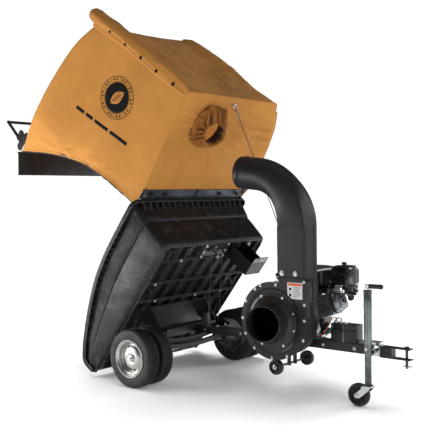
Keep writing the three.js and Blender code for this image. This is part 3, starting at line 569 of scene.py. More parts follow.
# the canvas darkened as painted shade for the sleeve's deep folds
CANVAS_SHADE = cloth("canvas_sleeve", "canvas", (0.27, 0.105, 0.02, 1), (0.45, 0.185, 0.036, 1), 1.4)
POLY = moulded("tub_poly", "black_poly")
RUBBER = rubber("tyre_rubber", "tyre_rubber")
RIM = metal("rim_silver", "silver_rim", (0.36, 0.36, 0.345, 1), (0.5, 0.5, 0.48, 1), (0.24, 0.4))
ZINC = metal("zinc_plate", "zinc_plate", (0.5, 0.53, 0.5, 1), (0.74, 0.76, 0.73, 1), (0.2, 0.38))
ZINC_GREEN = metal("zinc_jack", "zinc_plate", (0.05, 0.06, 0.057, 1), (0.19, 0.215, 0.2, 1),
                   (0.16, 0.32), 9, (1, 1, 0.15))
POWDER = painted("powder_black", "black_powder", (0.009, 0.009, 0.01, 1), (0.02, 0.02, 0.022, 1),
                 (0.3, 0.46))
CHARCOAL = painted("blower_charcoal", "blower_coat", (0.012, 0.0115, 0.014, 1),
                   (0.02, 0.0195, 0.022, 1), (0.38, 0.52), 4, 0.1, Specular_IOR_Level=0.24)
NOZZLE = painted("nozzle_black", "nozzle_plastic", (0.014, 0.014, 0.015, 1),
                 (0.026, 0.026, 0.028, 1), (0.3, 0.42), 8, 0.15, Specular_IOR_Level=0.4)
BAR = metal("hinge_bar", "hinge_bar_metal", (0.055, 0.065, 0.085, 1), (0.12, 0.14, 0.18, 1),
            (0.28, 0.42), 8, (1, 0.1, 1))
ENGINE_BLACK = painted("engine_black", "engine_black", (0.007, 0.007, 0.008, 1),
                       (0.016, 0.016, 0.017, 1), (0.16, 0.32), 12)
ENGINE_GREY = painted("engine_grey", "engine_grey", (0.075, 0.075, 0.082, 1), (0.15, 0.15, 0.16, 1),
                      (0.25, 0.42), 10)
CAST = metal("cast_aluminium", "cast_aluminium", (0.26, 0.28, 0.3, 1), (0.46, 0.49, 0.52, 1),
             (0.3, 0.5), 30)
BATTERY = painted("battery_case", "battery_case", (0.007, 0.008, 0.009, 1), (0.018, 0.02, 0.024, 1),
                  (0.28, 0.42))
RED = painted("wire_red", "red_wire", (0.42, 0.01, 0.02, 1), (0.6, 0.02, 0.035, 1), (0.3, 0.45), 40)
GREEN = painted("wire_green", "green_wire", (0.004, 0.12, 0.085, 1), (0.01, 0.2, 0.14, 1),
                (0.3, 0.45), 40)
ROPE = stranded("wire_rope", "wire_rope")
PAPER = painted("label_paper", "blower_coat", (0.55, 0.56, 0.58, 1), (0.68, 0.69, 0.7, 1),
                (0.35, 0.5), 20)
ORANGE = painted("label_orange", "blower_coat", (0.62, 0.075, 0.012, 1), (0.75, 0.1, 0.02, 1),
                 (0.35, 0.5), 20)
# painted shade: near-black for what shows through the rim's slots
PAINTED_SLOT_SHADE = painted("deep_shadow", "black_powder", (0.001, 0.001, 0.001, 1), (0.002, 0.002, 0.002, 1),
               (0.8, 0.9))

# ---------------------------------------------------------------- cover: fabric
SKIRT = [(8, 68), (3, 20), (-4, -36), (-12, -56), (-40, -61), (-162, -60), (-326, -60), (-591, -93),
         (-896, -199), (-1213, -354)]
TOP = [(-11, 741), (-180, 746), (-500, 747), (-800, 750), (-965, 744)]
REAR = [(-1213, -354), (-1210, -113), (-1178, 213), (-1090, 535), (-965, 744)]
FACE_LINE = [(8, 68), (-1.5, 404), (-11, 741)]
# how far the far side bulges: (height, bulge)
BELLY = [(-50, 0), (80, 46), (300, 84), (430, 84), (560, 72), (660, 34), (721, 0)]
BROW, ROOF = 741, 747  # heights of the roof's front edge and of its shoulders
SKIRT_HALF, ROOF_HALF = 515, 466  # half widths at the skirt and at the roof
BEND_HEIGHT = -50  # below it the sides tuck in again


def flat_curve(points, count):
    return spline([(x, 0, z) for x, z in points], count)


def cover_half(z, side=-1):
    """Half the cover's width at a height: tucked in at the tail, leaning in to the roof."""
    if z > BEND_HEIGHT:
        lean = (SKIRT_HALF - ROOF_HALF) * (z - BEND_HEIGHT) / (ROOF - BEND_HEIGHT)
    else:
        lean = 0.06 * (BEND_HEIGHT - z)
    half = SKIRT_HALF - lean
    if side > 0:
        for (low, a), (high, b) in zip(BELLY, BELLY[1:]):
            if low <= z < high:
                half += lerp(a, b, (z - low) / (high - low))
    return half


def along(table, x):
    """A value read off a table of (x, value)."""
    for (x0, a), (x1, b) in zip(table, table[1:]):
        if x <= x1:
            return lerp(a, b, max(0.0, min(1, (x - x0) / (x1 - x0))))
    return table[-1][1]


def far_corner(point, proud=0.0):
    """Eases a point in to the round far shoulder of the cover, at its front half."""
    ease = along([(-600, 0.0), (-200, 1.0), (20, 1.0)], point.x)
    radius = 26 + 44 * ease + proud
    dy, dz = point.y - (ROOF_HALF - radius + proud), point.z - (ROOF - radius + proud)
    reach = math.hypot(dy, dz)
    if point.y < 380 or dy <= 0 or dz <= 0 or reach <= radius:
        return point
    return Vector((point.x, point.y + (radius / reach - 1) * dy * ease,
                   point.z + (radius / reach - 1) * dz * ease))


def sweep(point):
    """Draws the roof's tail further back towards the far side."""
    back = max(0.0, (-point.x - 500) / 465) ** 2 * min(1, max(0.0, (point.z - 300) / 440))
    across = max(0.0, (point.y + 100) / 566) ** 2
    return point - Vector((back * (6 + 74 * across), 0, 0))


def fold(point, scale, stretch, sharp=1.0):
    """Ridged noise from 0 to 1; a fold runs where the stretch is small."""
    at = Vector(point[i] * stretch[i] for i in range(3)) / scale
    value = 1 - abs(noise.noise(at) + 0.35 * noise.noise(at * 2.3 + Vector((7, 3, 5)))) * 1.6
    return max(value, 0) ** sharp


def coons(bottom, top, front, rear):
    """A patch of points (x, z) inside four edge curves."""
    rows = []
    for j, (f, r) in enumerate(zip(front, rear)):
        v = j / (len(front) - 1)
        row = []
        for i, (b, t) in enumerate(zip(bottom, top)):
            u = i / (len(bottom) - 1)
            edges = b.lerp(t, v) + f.lerp(r, u)
            corners = bottom[0].lerp(bottom[-1], u).lerp(top[0].lerp(top[-1], u), v)
            row.append(edges - corners)
        rows.append(row)
    return rows


def side_wrinkle(x, z, hem):
    """How far the side cloth stands off its flat, in millimetres."""
    soft = 5 * noise.noise(Vector((x, z, 40)) / 260) + 2.2 * noise.noise(Vector((x, z, 9)) / 90)
    low = max(0.0, 1 - hem / 0.16)
    pull = fold((x * 0.8 + z * 0.6, 0, z - x * 0.4), 44, (0.35, 1, 1), 1.8) * 13 * low
    pull += fold((x * 0.3, 0, z + 0.5 * x), 30, (0.5, 1, 1), 1.8) * 8 * max(0.0, 1 - hem / 0.1)
    high = max(0.0, (hem - 0.9) / 0.1)
    return soft - pull + 3 * high * noise.noise(Vector((x, 0, 0)) / 34)


def roof_wrinkle(x, y, u):
    """Long soft ridges that run from the tail towards the front panel."""
    ridges = fold((x * 0.3 + 400, y * 1.0 + x * 0.16, 3), 74, (0.34, 1, 1), 1.5) * 27
    fine = fold((x * 0.5 + 90, y * 1.1 + x * 0.2, 13), 34, (0.4, 1, 1), 1.8) * 12
    cross = fold((x, y * 0.3, 11), 120, (1, 0.6, 1), 2.0) * 9
    lip = 9 * math.exp(-(((x + 34) / 22) ** 2)) * (0.6 + 0.4 * math.sin(y / 70))
    sag = 19 * math.cos(math.pi * y / 960) * math.sin(math.pi * min(u * 1.1, 1))
    return (ridges + fine) * (0.35 + 0.65 * math.sin(math.pi * u)) + cross - sag - 8 - lip


def cover_shell():
    """Both sides, the roof and the tail of the cover as one sheet."""
    across, tall, wide = 104, 84, 76
    bottom, top = flat_curve(SKIRT, across), flat_curve(TOP, across)
    front, rear = flat_curve(FACE_LINE, tall), flat_curve(REAR, tall)
    patch = coons(bottom, top, front, rear)
    shape = Shape()
    for side in (-1, 1):
        rows = []
        for j, row in enumerate(patch):
            v = j / (tall - 1)
            line = []
            for i, p in enumerate(row):
                u = i / (across - 1)
                rim = min(1, 6 * u, 6 * (1 - u), 7 * (1 - v))
                stand = side_wrinkle(p.x, p.z + side * 900, v) * rim
                line.append((p.x, side * (cover_half(p.z, side) - 3 + stand), p.z))
            rows.append(line)
        shape.sheet(rows)
    rows = []
    for i, p in enumerate(top):
        u = i / (across - 1)
        half = cover_half(p.z) - 3
        row = []
        for k in range(wide):
            y = lerp(-half, half, k / (wide - 1))
            rim = min(1, 5 * (1 - abs(y) / half), 9 * u, 9 * (1 - u))
            row.append((p.x, y, p.z + rim * roof_wrinkle(p.x, y, u)))
        rows.append(row)
    shape.sheet(rows)
    rows = []
    for j, p in enumerate(rear):
        v = j / (tall - 1)
        near, far = 3 - cover_half(p.z, -1), cover_half(p.z, 1) - 3
        row = []
        for k in range(wide):
            y = lerp(near, far, k / (wide - 1))
            edge = min(y - near, far - y) / (far - near) * 2
            rim = min(1, 5 * edge, 8 * v, 8 * (1 - v))
            swell = 9 * math.sin(math.pi * v) + 6 * fold((y * 0.4, p.z, 2), 90, (1, 1, 1), 1.5)
            row.append((p.x - rim * swell * 0.8, y, p.z))
        rows.append(row)
    shape.sheet(rows)
    round_corners(shape, 9)
    return shape


def round_corners(shape, passes):
    """Joins the sheets of a shape and eases the corners where they meet."""
    mesh = bpy.data.meshes.new("corners")
    mesh.from_pydata(shape.points, [], shape.faces)
    work = bmesh.new()
    work.from_mesh(mesh)
    bmesh.ops.remove_doubles(work, verts=work.verts, dist=0.5)
    bmesh.ops.recalc_face_normals(work, faces=work.faces)
    sharp = [e for e in work.edges if len(e.link_faces) == 2 and e.calc_face_angle() > math.radians(35)]
    near = {v for e in sharp for v in e.verts}
    for _ in range(2):
        near |= {e.other_vert(v) for v in near for e in v.link_edges}
    near = [v for v in near if not v.is_boundary]
    for _ in range(passes):
        bmesh.ops.smooth_vert(work, verts=near, factor=0.5, use_axis_x=True, use_axis_y=True,
                              use_axis_z=True)
    work.verts.index_update()
    shape.points = [sweep(far_corner(v.co.copy())) for v in work.verts]
    shape.faces = [[v.index for v in f.verts] for f in work.faces]
    work.free()
    bpy.data.meshes.remove(mesh)


SLEEVE = Vector((0.5, -175, 530))  # where the sleeve meets the front panel
HOLE = 129


def front_wrinkle(y, z):
    """Long folds run from the sleeve to the far edge, and short ones hang from the roof's front edge."""
    dy, dz = y - SLEEVE.y, z - SLEEVE.z
    reach = math.hypot(dy, dz)
    away = math.exp(-max(reach - HOLE, 0) / 120)
    bearing = math.atan2(dz, dy)
    fan = fold((math.cos(bearing) * 5, math.sin(bearing) * 5, reach / 500), 1, (1, 1, 1), 1.8) * 15 * away
    right = min(1, max(0.0, (y + 40) / 160))
    across = fold((0, y * 0.16, z + y * 0.16 + 14 * math.sin(y / 120)), 66, (1, 1, 1), 1.6) * 30
    across *= math.exp(-(((z - 545 + 0.1 * y) / 120) ** 2)) * right
    hang = fold((y * 0.5, z * 0.3, 5), 48, (1, 1, 1), 1.8) * 5 * math.exp(-((BROW - z) / 60))
    crease = BROW - 30 - 16 * math.sin(math.pi * (y + ROOF_HALF) / (2 * ROOF_HALF))
    brow = 7 * math.exp(-(((z - crease - 15) / 9) ** 2)) - 9 * math.exp(-(((z - crease) / 8) ** 2))
    low = 8 * noise.noise(Vector((y, z * 0.6, 4)) / 240) + 3 * noise.noise(Vector((y, z, 14)) / 90)
    return fan + across + low - hang + brow


def front_panel():
    """The panel that faces the blower, with a round hole for the sleeve."""
    across, tall = 118, 84
    line = evenly([(x, 0, z) for x, z in FACE_LINE], tall)
    rows, shape = [], Shape()
    for j, p in enumerate(line):
        v = j / (tall - 1)
        near, far = 3 - cover_half(p.z, -1), cover_half(p.z, 1) - 3
        row = []
        for k in range(across):
            y = lerp(near, far, k / (across - 1))
            edge = min(y - near, far - y) / (far - near) * 2
            dy, dz = y - SLEEVE.y, p.z - SLEEVE.z
            reach = math.hypot(dy, dz)
            if HOLE - 9 < reach < HOLE + 5:
                y, z = SLEEVE.y + dy * HOLE / reach, SLEEVE.z + dz * HOLE / reach
            else:
                z = p.z
            rim = min(1, 9 * edge, 9 * v, 7 * (1 - v))
            row.append(far_corner(Vector((p.x + rim * front_wrinkle(y, z) - 1.5, y, z))))
        rows.append(row)
    faces = []
    for j in range(tall - 1):
        for k in range(across - 1):
            corners = [rows[j][k], rows[j][k + 1], rows[j + 1][k + 1], rows[j + 1][k]]
            middle = sum(corners, Vector()) / 4
            if math.hypot(middle.y - SLEEVE.y, middle.z - SLEEVE.z) > HOLE - 1:
                a = j * across + k
                faces.append((a, a + 1, a + across + 1, a + across))
    shape.add([p for row in rows for p in row], faces)
    return shape


# bearing round the sleeve, in radians, and depth
PLEATS = [(0.2, 0.9), (0.75, 0.7), (1.28, 1.0), (1.8, 0.75), (2.22, 1.0), (2.62, 0.8), (2.98, 1.1),
          (3.4, 0.8), (3.85, 1.0), (4.3, 0.7), (4.8, 0.9), (5.3, 0.65), (5.75, 0.85)]


def round_noise(t, across):
    """Smooth noise that closes on itself after a full turn."""
    return noise.noise(Vector((math.cos(t) * 2, math.sin(t) * 2, across)))


def pleat(t, out):
    """Deep gathered folds round the sleeve, 0 on a crest and 1 in a valley."""
    turn = t + 0.16 * math.sin(3 * t + out / 34) + 0.1 * round_noise(t, out / 30)
    depth = 0.0
    for bearing, weight in PLEATS:
        off = (turn - bearing + math.pi) % (2 * math.pi) - math.pi
        depth = max(depth, weight * math.exp(-((off / 0.115) ** 2)))
    return depth


# distance out of the panel, radius, shift towards the near side, drop, depth of the pleats
SLEEVE_LINE = [
    (1, 142, 0, 0, 3), (9, 143, 0, 0, 9), (26, 139, 2, 0, 22), (48, 130, 6, 1, 32),
    (68, 116, 12, 3, 34), (84, 100, 17, 5, 26), (93, 86, 20, 6, 14), (98, 79, 21, 7, 6),
    (104, 78, 22, 7, 4), (107, 74, 22, 7, 3), (104, 69, 22, 7, 3), (96, 66, 22, 7, 4),
]


def sleeve_ring(out, radius, shift, drop, depth, sides=168):
    """One ring of the sleeve, with its gathers and the two folds that stand up like ears."""
    ring = []
    for t in angles(sides):
        up = max(0.0, math.sin(t))
        valley = pleat(t, out)
        ears = math.exp(-(((t - 2.02) / 0.2) ** 2)) + 0.8 * math.exp(-(((t - 1.0) / 0.22) ** 2))
        mid = math.sin(math.pi * min(out / 104, 1))
        r = radius - 1.7 * depth * valley + 46 * ears * mid * up
        if out > 95:
            r += 3.4 * math.cos(29 * t + 1.2 * math.sin(4 * t))
        squeeze = lerp(1, 0.95, min(out / 100, 1))
        y = SLEEVE.y - shift + r * math.cos(t) * squeeze
        z = SLEEVE.z - drop + r * math.sin(t) * lerp(1, 1.06, min(out / 100, 1))
        lift = 16 * valley * mid + 7 * round_noise(t, out / 40) * mid
        slant = 0.34 * (y - SLEEVE.y) * min(out / 100, 1) ** 2
        ring.append(Vector((SLEEVE.x + out - lift + slant, y, z)))
    return ring


def sleeve():
    """The gathered inlet sleeve, drawn in to an elastic mouth."""
    steps = spline([(out, radius, shift) for out, radius, shift, _, _ in SLEEVE_LINE], 54)
    others = spline([(drop, depth, 0) for *_, drop, depth in SLEEVE_LINE], 54)
    rings = [sleeve_ring(a.x, a.y, a.z, b.x, b.y) for a, b in zip(steps, others)]
    return Shape().rings(rings, caps=False)


def sleeve_painted_shade():
    """A dark sheet inside the sleeve, back through the panel: painted shade for its shadowed inside."""
    rings = []
    for out, radius, drop in ((97, 68, 7), (80, 69, 6), (50, 84, 5), (20, 104, 2), (-12, 122, 0)):
        rings.append(sleeve_ring(out, radius, 22 * out / 97, drop, 7 if out < 90 else 3, 84))
    return Shape().rings(rings, caps=False)


# per side: middle and flattening across the cover, then (x, radius, height) along the roll
ROLLS = {
    -1: ((-438, 1.16), [(-1050, 6, 796), (-1047, 25, 795), (-1036, 40, 792), (-1000, 46, 790),
                        (-940, 44, 788), (-800, 38, 782), (-650, 32, 778), (-520, 16, 768)]),
    1: ((424, 2.1), [(-950, 4, 756), (-946, 9, 757), (-930, 15, 760), (-890, 20, 763),
                     (-800, 20, 764), (-650, 14, 760), (-520, 7, 756)]),
}
# the line of the snaps over the roof: (x, rise)
SEAM_RISE = [(-1000, 26), (-797, 17), (-626, 5), (-458, -8), (-297, -21), (-132, -27), (0, -29)]


def vent_roll(side):
    """A hood of cloth rolled up on the shoulder, fat at the tail."""
    (middle, spread), stations = ROLLS[side]
    rings = []
    for x, radius, z in spline(stations, 70):
        ring = []
        for t in angles(56):
            twist = t + 0.0035 * x * side
            wrap = 0.06 * fold((math.cos(twist) * 60, math.sin(twist) * 60, x * 0.16), 22, (1, 1, 1), 2)
            r = radius * (1 + wrap) + 1.2 * noise.noise(Vector((x, t * 30, side * 50)) / 24)
            y = middle + 4 * math.sin(x / 170) + spread * r * math.cos(t)
            ring.append(Vector((x, y, z + r * math.sin(t))))
        rings.append(ring)
    return Shape().rings(rings)


def shoulder_section(x, side):
    """The hood's section over the shoulder: (out of the side cloth, over the roof)."""
    wide = along([(-930, 0.0), (-780, 0.45), (-560, 1.0), (0, 1.0)], x)
    if side < 0:
        fat = along([(-930, 43), (-800, 43), (-600, 35), (-400, 27), (-200, 18), (-60, 9), (0, 5)], x)
        lip = along(SEAM_RISE, x)
        return [(0, min(lip - 22, -22)), (1.5, min(lip - 10, -2)), (3, lip - 1),
                (4 + fat * 0.22, lip + fat * 0.16), (2 + fat * 0.4, lip + fat * 0.62),
                (-fat * 0.25, 2 * fat - 1), (-fat * lerp(1.15, 1.35, wide), 2 * fat - 2),
                (-fat * lerp(1.8, 2.3, wide), lerp(1.1, 1.25, wide) * fat),
                (-fat * lerp(2.1, 3.0, wide), 0.4 * fat),
                (-fat * lerp(2.35, 3.9, wide), 0.1 * fat - 2), (-fat * lerp(2.7, 4.9, wide), -9)]
    fat = along([(-962, 3), (-930, 14), (-880, 25), (-800, 29), (-600, 26), (-400, 20), (-200, 13),
                 (-60, 6), (0, 2)], x)
    return [(0, -24), (2, -12), (3 + fat * 0.2, fat * 0.3), (-fat * 0.4, 1.3 * fat),
            (-fat * 1.6, 1.75 * fat), (-fat * 2.8, 1.5 * fat),
            (-fat * lerp(3.8, 4.4, wide), 0.8 * fat), (-fat * lerp(4.8, 6, wide), 0.1 * fat - 1),
            (-fat * lerp(5.6, 7.2, wide), -9)]


def shoulder(side):
    """The hood's cloth laid over the shoulder, which sinks into the roof on the inside."""
    rows = []
    for k in range(110):
        row = []
        along_roof = k / 109
        sections = spline([(a, b, 0) for a, b in shoulder_section(lerp(-962, -9, along_roof), side)], 44)
        for n, (out, over, _) in enumerate(sections):
            inner = min(1.0, n / (26 if side < 0 else 16))
            tail = lerp(-978 if side < 0 else -968, -962, inner * inner * (3 - 2 * inner))
            x = lerp(tail, -9, along_roof)
            half = cover_half(BROW)
            free = math.sin(math.pi * n / 43)
            crease = fold((x * 0.35, n * 7, side * 9), 46, (1, 1, 1), 1.8) * 4 * free
            drape = 3 * noise.noise(Vector((x / 60, n / 7, side * 4))) * free
            sink = 10 * max(0.0, (x + 60) / 60) * (1 if n > 8 else 0.3)
            point = Vector((x, side * (half + out), ROOF + over + drape - crease - sink))
            row.append(sweep(far_corner(point, 3) if side > 0 else point))
        rows.append(row)
    return Shape().sheet(rows)


def dashes(path, step, length, radius):
    """Stitches along a path."""
    shape = Shape()
    total = sum((b - a).length for a, b in zip(path, path[1:]))
    spots = evenly(path, max(2, int(total / step)))
    for a, b in zip(spots, spots[1:]):
        heading = (b - a).normalized()
        shape.bar(a, a + heading * length, radius, 6)
    return shape


shell = make("canvas_shell", cover_shell(), "cover", CANVAS, COVER, shell=2.4, smooth=70,
             replaces=("cover_shell",))
panel = make("canvas_front", front_panel(), "cover", CANVAS, COVER, shell=2.4, smooth=70,
             replaces=("cover_front_panel",))
mouth = make("canvas_sleeve", sleeve(), "cover", CANVAS_SHADE, COVER, shell=2.0, smooth=75,
             replaces=("inlet_sleeve",))
# a dark sheet of painted shade inside the sleeve
shade_sheet = make("sleeve_painted_shade", sleeve_painted_shade(), "cover", CANVAS_PAINTED_SHADE, COVER, shell=1.6, smooth=75)


def tree_of(piece):
    """A piece's faces in the cover's frame, to drop points on."""
    points = [tuple(COVER.inverted() @ v.co) for v in piece.data.vertices]
    return BVHTree.FromPolygons(points, [tuple(f.vertices) for f in piece.data.polygons])


def drop_on(tree, x, z, side):
    """Where a line straight across the cover, from the side, first meets a piece."""
    return tree.ray_cast(Vector((x, side * 900, z)), Vector((0, -side, 0)))[0]


SIDE_TREE = tree_of(shell)


def onto_side(x, z, lift=1.0, side=-1):
    """A point on the side cloth, lifted off it."""
    hit = drop_on(SIDE_TREE, x, z, side)
    if hit is None:
        return Vector((x, side * (cover_half(z, side) + lift), z))
    return hit + Vector((0, side * lift, 0))


for label, side in (("near", -1), ("far", 1)):
    roll = make(f"roll_{label}", vent_roll(side), "cover", CANVAS_ROLL, COVER, smooth=80,
                replaces=(f"vent_roll_{label}",))
    hood = make(f"hood_{label}", shoulder(side), "cover", CANVAS, COVER, shell=2.0, smooth=80)
    tree = tree_of(hood)

    def on_hood(x, rise, lift):
        """A point on the hood, by its rise over the line of the snaps."""
        z = ROOF + rise + (along(SEAM_RISE, x) if side < 0 else -30)
        hit = drop_on(tree, x, z, side)
        return (hit or Vector((x, side * (cover_half(BROW) - 4), z))) + Vector((0, side * lift, 0))

    make(f"seam_{label}", Shape().tube([on_hood(x, 0, 0.4) for x in range(-926, -14, 12)], 1.7, 6),
         "cover", THREAD, COVER)
    lower = [on_hood(x, -9, 0.4) for x in range(-926, -14, 12)]
    make(f"stitch_{label}", dashes(lower, 11, 7, 1.0), "cover", THREAD, COVER)
    snaps = Shape()
    dome = [(0, 11), (3, 11), (4.6, 8), (4.8, 4.5), (3.4, 3)]
    for x in (-797, -626, -458, -297, -132):
        snaps.stack(on_hood(x, 5, 0.2), (0, side, 0), dome, 20)
    make(f"snaps_{label}", snaps, "cover", INK, COVER)
    hem = [onto_side(p.x, p.z + 3, -0.6, side) for p in flat_curve(SKIRT, 90)]
    make(f"hem_binding_{label}", Shape().tube(hem, 3.6, 8), "cover", BINDING, COVER)
    upper = [onto_side(p.x, p.z + 22, 0.3, side) for p in flat_curve(SKIRT, 150)[6:-6]]
    make(f"hem_stitch_{label}", dashes(upper, 10, 6.5, 0.9), "cover", THREAD, COVER)

front_edges = Shape()
for side in (-1, 1):
    line = [(p.x - 1, side * (cover_half(p.z, side) - 5), p.z)
            for p in evenly([(x, 0, z) for x, z in FACE_LINE], 40)]
    front_edges.tube([far_corner(Vector(p)) for p in line], 3.2, 8)
make("front_piping", front_edges, "cover", CANVAS_ROLL, COVER)
brow = [far_corner(Vector((-8, y, BROW + 1.5 * math.sin(y / 60)))) for y in range(-462, 463, 12)]
make("front_brow", Shape().tube(brow, 5.5, 10), "cover", CANVAS_ROLL, COVER)
collar = [SLEEVE + Vector((4, 143 * math.cos(t), 143 * math.sin(t))) for t in angles(60)]
make("sleeve_collar", Shape().tube(collar, 2.4, 8, closed=True), "cover", THREAD, COVER)
elastic = sleeve_ring(106, 75, 22, 7, 3, 90)
make("sleeve_elastic", Shape().tube(elastic, 3.6, 8, closed=True), "cover", CANVAS_SHADE, COVER)


# ---------------------------------------------------------------- cover: generic print
PRINT = Vector((-522, 0, 434))  # the middle of the print
PRINT_WIDE = 1.16  # the disc is wider than it is tall
SPRIG = (PRINT.x + 2, PRINT.z + 3)
LEAN = 0.95  # of the leaf, in radians


def disc(shape, cx, cz, inner, outer, count=72):
    """A printed ring, laid on the side cloth."""
    steps = 2 if outer - inner < 20 else 8
    rows = []
    for k in range(steps + 1):
        r = lerp(inner, outer, k / steps)
        row = [onto_side(cx + PRINT_WIDE * r * math.cos(t), cz + r * math.sin(t), 0.9)
               for t in angles(count)]
        rows.append(row + row[:1])
    shape.sheet(rows)


def leaf_half(t):
    """Half width of a plain pointed leaf along its length."""
    swell = math.sin(math.pi * t)
    lobes = 3.5 * abs(math.sin(5 * math.pi * t)) * swell
    return 27 * swell**0.8 * (1 - 0.25 * t) + lobes


def leaned(a, b):
    """A place on the side cloth, from its place along and across the leaf."""
    x = SPRIG[0] + (a * math.cos(LEAN) - b * math.sin(LEAN))
    z = SPRIG[1] + (a * math.sin(LEAN) + b * math.cos(LEAN))
    return x, z


def leaf(shape, size, lift):
    rows = []
    for k in range(25):
        t = k / 24
        row = []
        for s in range(-4, 5):
            a, b = (t - 0.5) * 92 * size, leaf_half(t) * s / 4 * size
            row.append(onto_side(*leaned(a, b), lift))
        rows.append(row)
    shape.sheet(rows)


mark = Shape()
for inner, outer in ((1, 96), (131, 135), (101, 103)):
    disc(mark, PRINT.x, PRINT.z, inner, outer)
for k, t in enumerate(angles(30)):
    spot = PRINT + Vector((PRINT_WIDE * 117 * math.cos(t), 0, 117 * math.sin(t)))
    disc(mark, spot.x, spot.z, 0.2, 6.6 if k % 3 else 3.6, 12)
make("printed_disc", mark, "cover", INK, COVER, shell=0.5, closed=False, smooth=80)
sprig = Shape()
leaf(sprig, 1.45, 1.6)
make("printed_leaf", sprig, "cover", CANVAS, COVER, shell=0.4, closed=False, smooth=80)
veins = Shape()
side_veins = [((t, 0), (t + 0.16, w)) for t in (-0.28, -0.1, 0.08) for w in (-0.17, 0.17)]
for a, b in [((-0.62, 0), (0.46, 0))] + side_veins:
    line = []
    for k in range(8):
        p, q = lerp(a[0], b[0], k / 7) * 138, lerp(a[1], b[1], k / 7) * 138
        line.append(onto_side(*leaned(p, q), 2.2))
    veins.tube(line, 1.8, 5)
make("printed_veins", veins, "cover", INK, COVER)
band = Shape()
for start, end in ((0.0, 0.16), (0.2, 0.34), (0.38, 0.64), (0.68, 1.0)):
    rows = []
    for height in (-11, -4, 4, 11):
        row = []
        for k in range(28):
            t = lerp(start, end, k / 27)
            row.append(onto_side(lerp(-829, -281, t), lerp(209, 227, t) + height, 0.9))
        rows.append(row)
    band.sheet(rows)
make("printed_band", band, "cover", INK, COVER, shell=0.5, closed=False, smooth=80)

# ---------------------------------------------------------------- tub
UNDERSIDE = 129  # the floor's height over the tub's pivot
RIM_Z = 351  # the rim's height over the floor at the nose
# the rim's line along each side: (along, height over the floor)
RIM_LINE = [
    (541, RIM_Z), (430, 350), (287, 346), (90, 322), (-132, 262), (-304, 200), (-400, 146),
    (-440, 112), (-452, 78), (-451, 30), (-447, 3),
]
STATIONS = 76  # along each side of the tub
CORNER = 34  # the radius of the nose's upright corners
# (share of the rim's height, stand-off): floor edge, crease and the band under the rim
LEVELS = [
    (0.0, -16), (0.006, -9), (0.02, -4), (0.045, -0.5), (0.08, 0.6), (0.2, 1.8), (0.35, 2.2),
    (0.5, 1.4), (0.565, 0.2), (0.582, -0.6), (0.594, 0.6), (0.606, 4.5), (0.64, 5.5), (0.75, 4.0),
    (0.88, 2.0), (0.97, 0.4), (0.99, 0.8), (1.0, 3.2),
]
# (out, down) over the rim's edge
LIP = [(7, 0.6), (16, 0.8), (23, 0.2), (26.4, -2.2), (27, -6), (27.2, -16), (27, -26), (25.6, -30),
       (22, -30.5)]


def half_at(h):
    """Half the tub's width at a height over the floor."""
    return lerp(508, 514, h / 208) if h < 208 else lerp(514, 545, (h - 208) / 142)


def front_at(h):
    """The nose's place along the tub at a height over the floor."""
    return lerp(637, 661, h / 208) if h < 208 else lerp(661, 705, (h - 208) / 142)


def tub_walls():
    """Both sides and the nose as one skin, out over the rim and down its lip."""
    side = [(p.x, p.z) for p in flat_curve(RIM_LINE, STATIONS)]
    feet = [lerp(541, -447, (k / (STATIONS - 1)) ** 0.93) for k in range(STATIONS)]
    rows = [side_row(side, feet, k, -1) for k in reversed(range(STATIONS))]
    rows += [corner_row(math.radians(-90 + 90 * k / 8)) for k in range(1, 8)]
    rows += [front_row(lerp(-1, 1, k / 40)) for k in range(41)]
    rows += [corner_row(math.radians(90 * k / 8)) for k in range(1, 8)]
    rows += [side_row(side, feet, k, 1) for k in range(STATIONS)]
    return Shape().sheet(rows)


def side_row(side, feet, k, sign):
    """A side wall's section, from the floor edge up to the rim and over its lip."""
    x, h = side[k]
    before, after = side[max(k - 1, 0)], side[min(k + 1, STATIONS - 1)]
    heading = Vector((after[0] - before[0], after[1] - before[1])).normalized()
    inward = Vector((-heading.y, heading.x))  # towards the floor
    if inward.y > 0 and abs(inward.y) > 0.5:
        inward = -inward
    if inward.x < 0 and abs(inward.x) > 0.5:
        inward = -inward
    row = []
    for share, stand in LEVELS:
        height = lerp(0, h, share)
        row.append(Vector((lerp(feet[k], x, share), sign * (half_at(height) + stand), UNDERSIDE + height)))
    edge = half_at(h)
    for out, down in LIP:
        row.append(Vector((x - inward.x * down, sign * (edge + out), UNDERSIDE + h - inward.y * down)))
    return row


def corner_row(turn):
    """The section at a bearing round one of the nose's corners."""
    sign = 1 if turn > 0 else -1
    c, s = math.cos(turn), math.sin(turn)
    row = []
    for share, stand in LEVELS:
        h = RIM_Z * share
        cx, cy = front_at(h) - CORNER, half_at(h) - CORNER
        r = CORNER + stand
        row.append(Vector((cx + r * c, sign * cy + r * s, UNDERSIDE + h)))
    for out, down in LIP:
        cx, cy = front_at(RIM_Z) - CORNER, half_at(RIM_Z) - CORNER
        r = CORNER + out
        row.append(Vector((cx + r * c, sign * cy + r * s, UNDERSIDE + RIM_Z + down)))
    return row


def front_row(t):
    """The nose's section, with t from -1 at the near corner to 1 at the far one."""
    row = []
    for share, stand in LEVELS:
        h = RIM_Z * share
        row.append(Vector((front_at(h) + stand, t * (half_at(h) - CORNER), UNDERSIDE + h)))
    for out, down in LIP:
        y = t * (half_at(RIM_Z) - CORNER)
        row.append(Vector((front_at(RIM_Z) + out, y, UNDERSIDE + RIM_Z + down)))
    return row


FLUTES = 8
FLUTE_DEPTH = 24
FLUTED_HALF = 470  # half the width that the channels take up


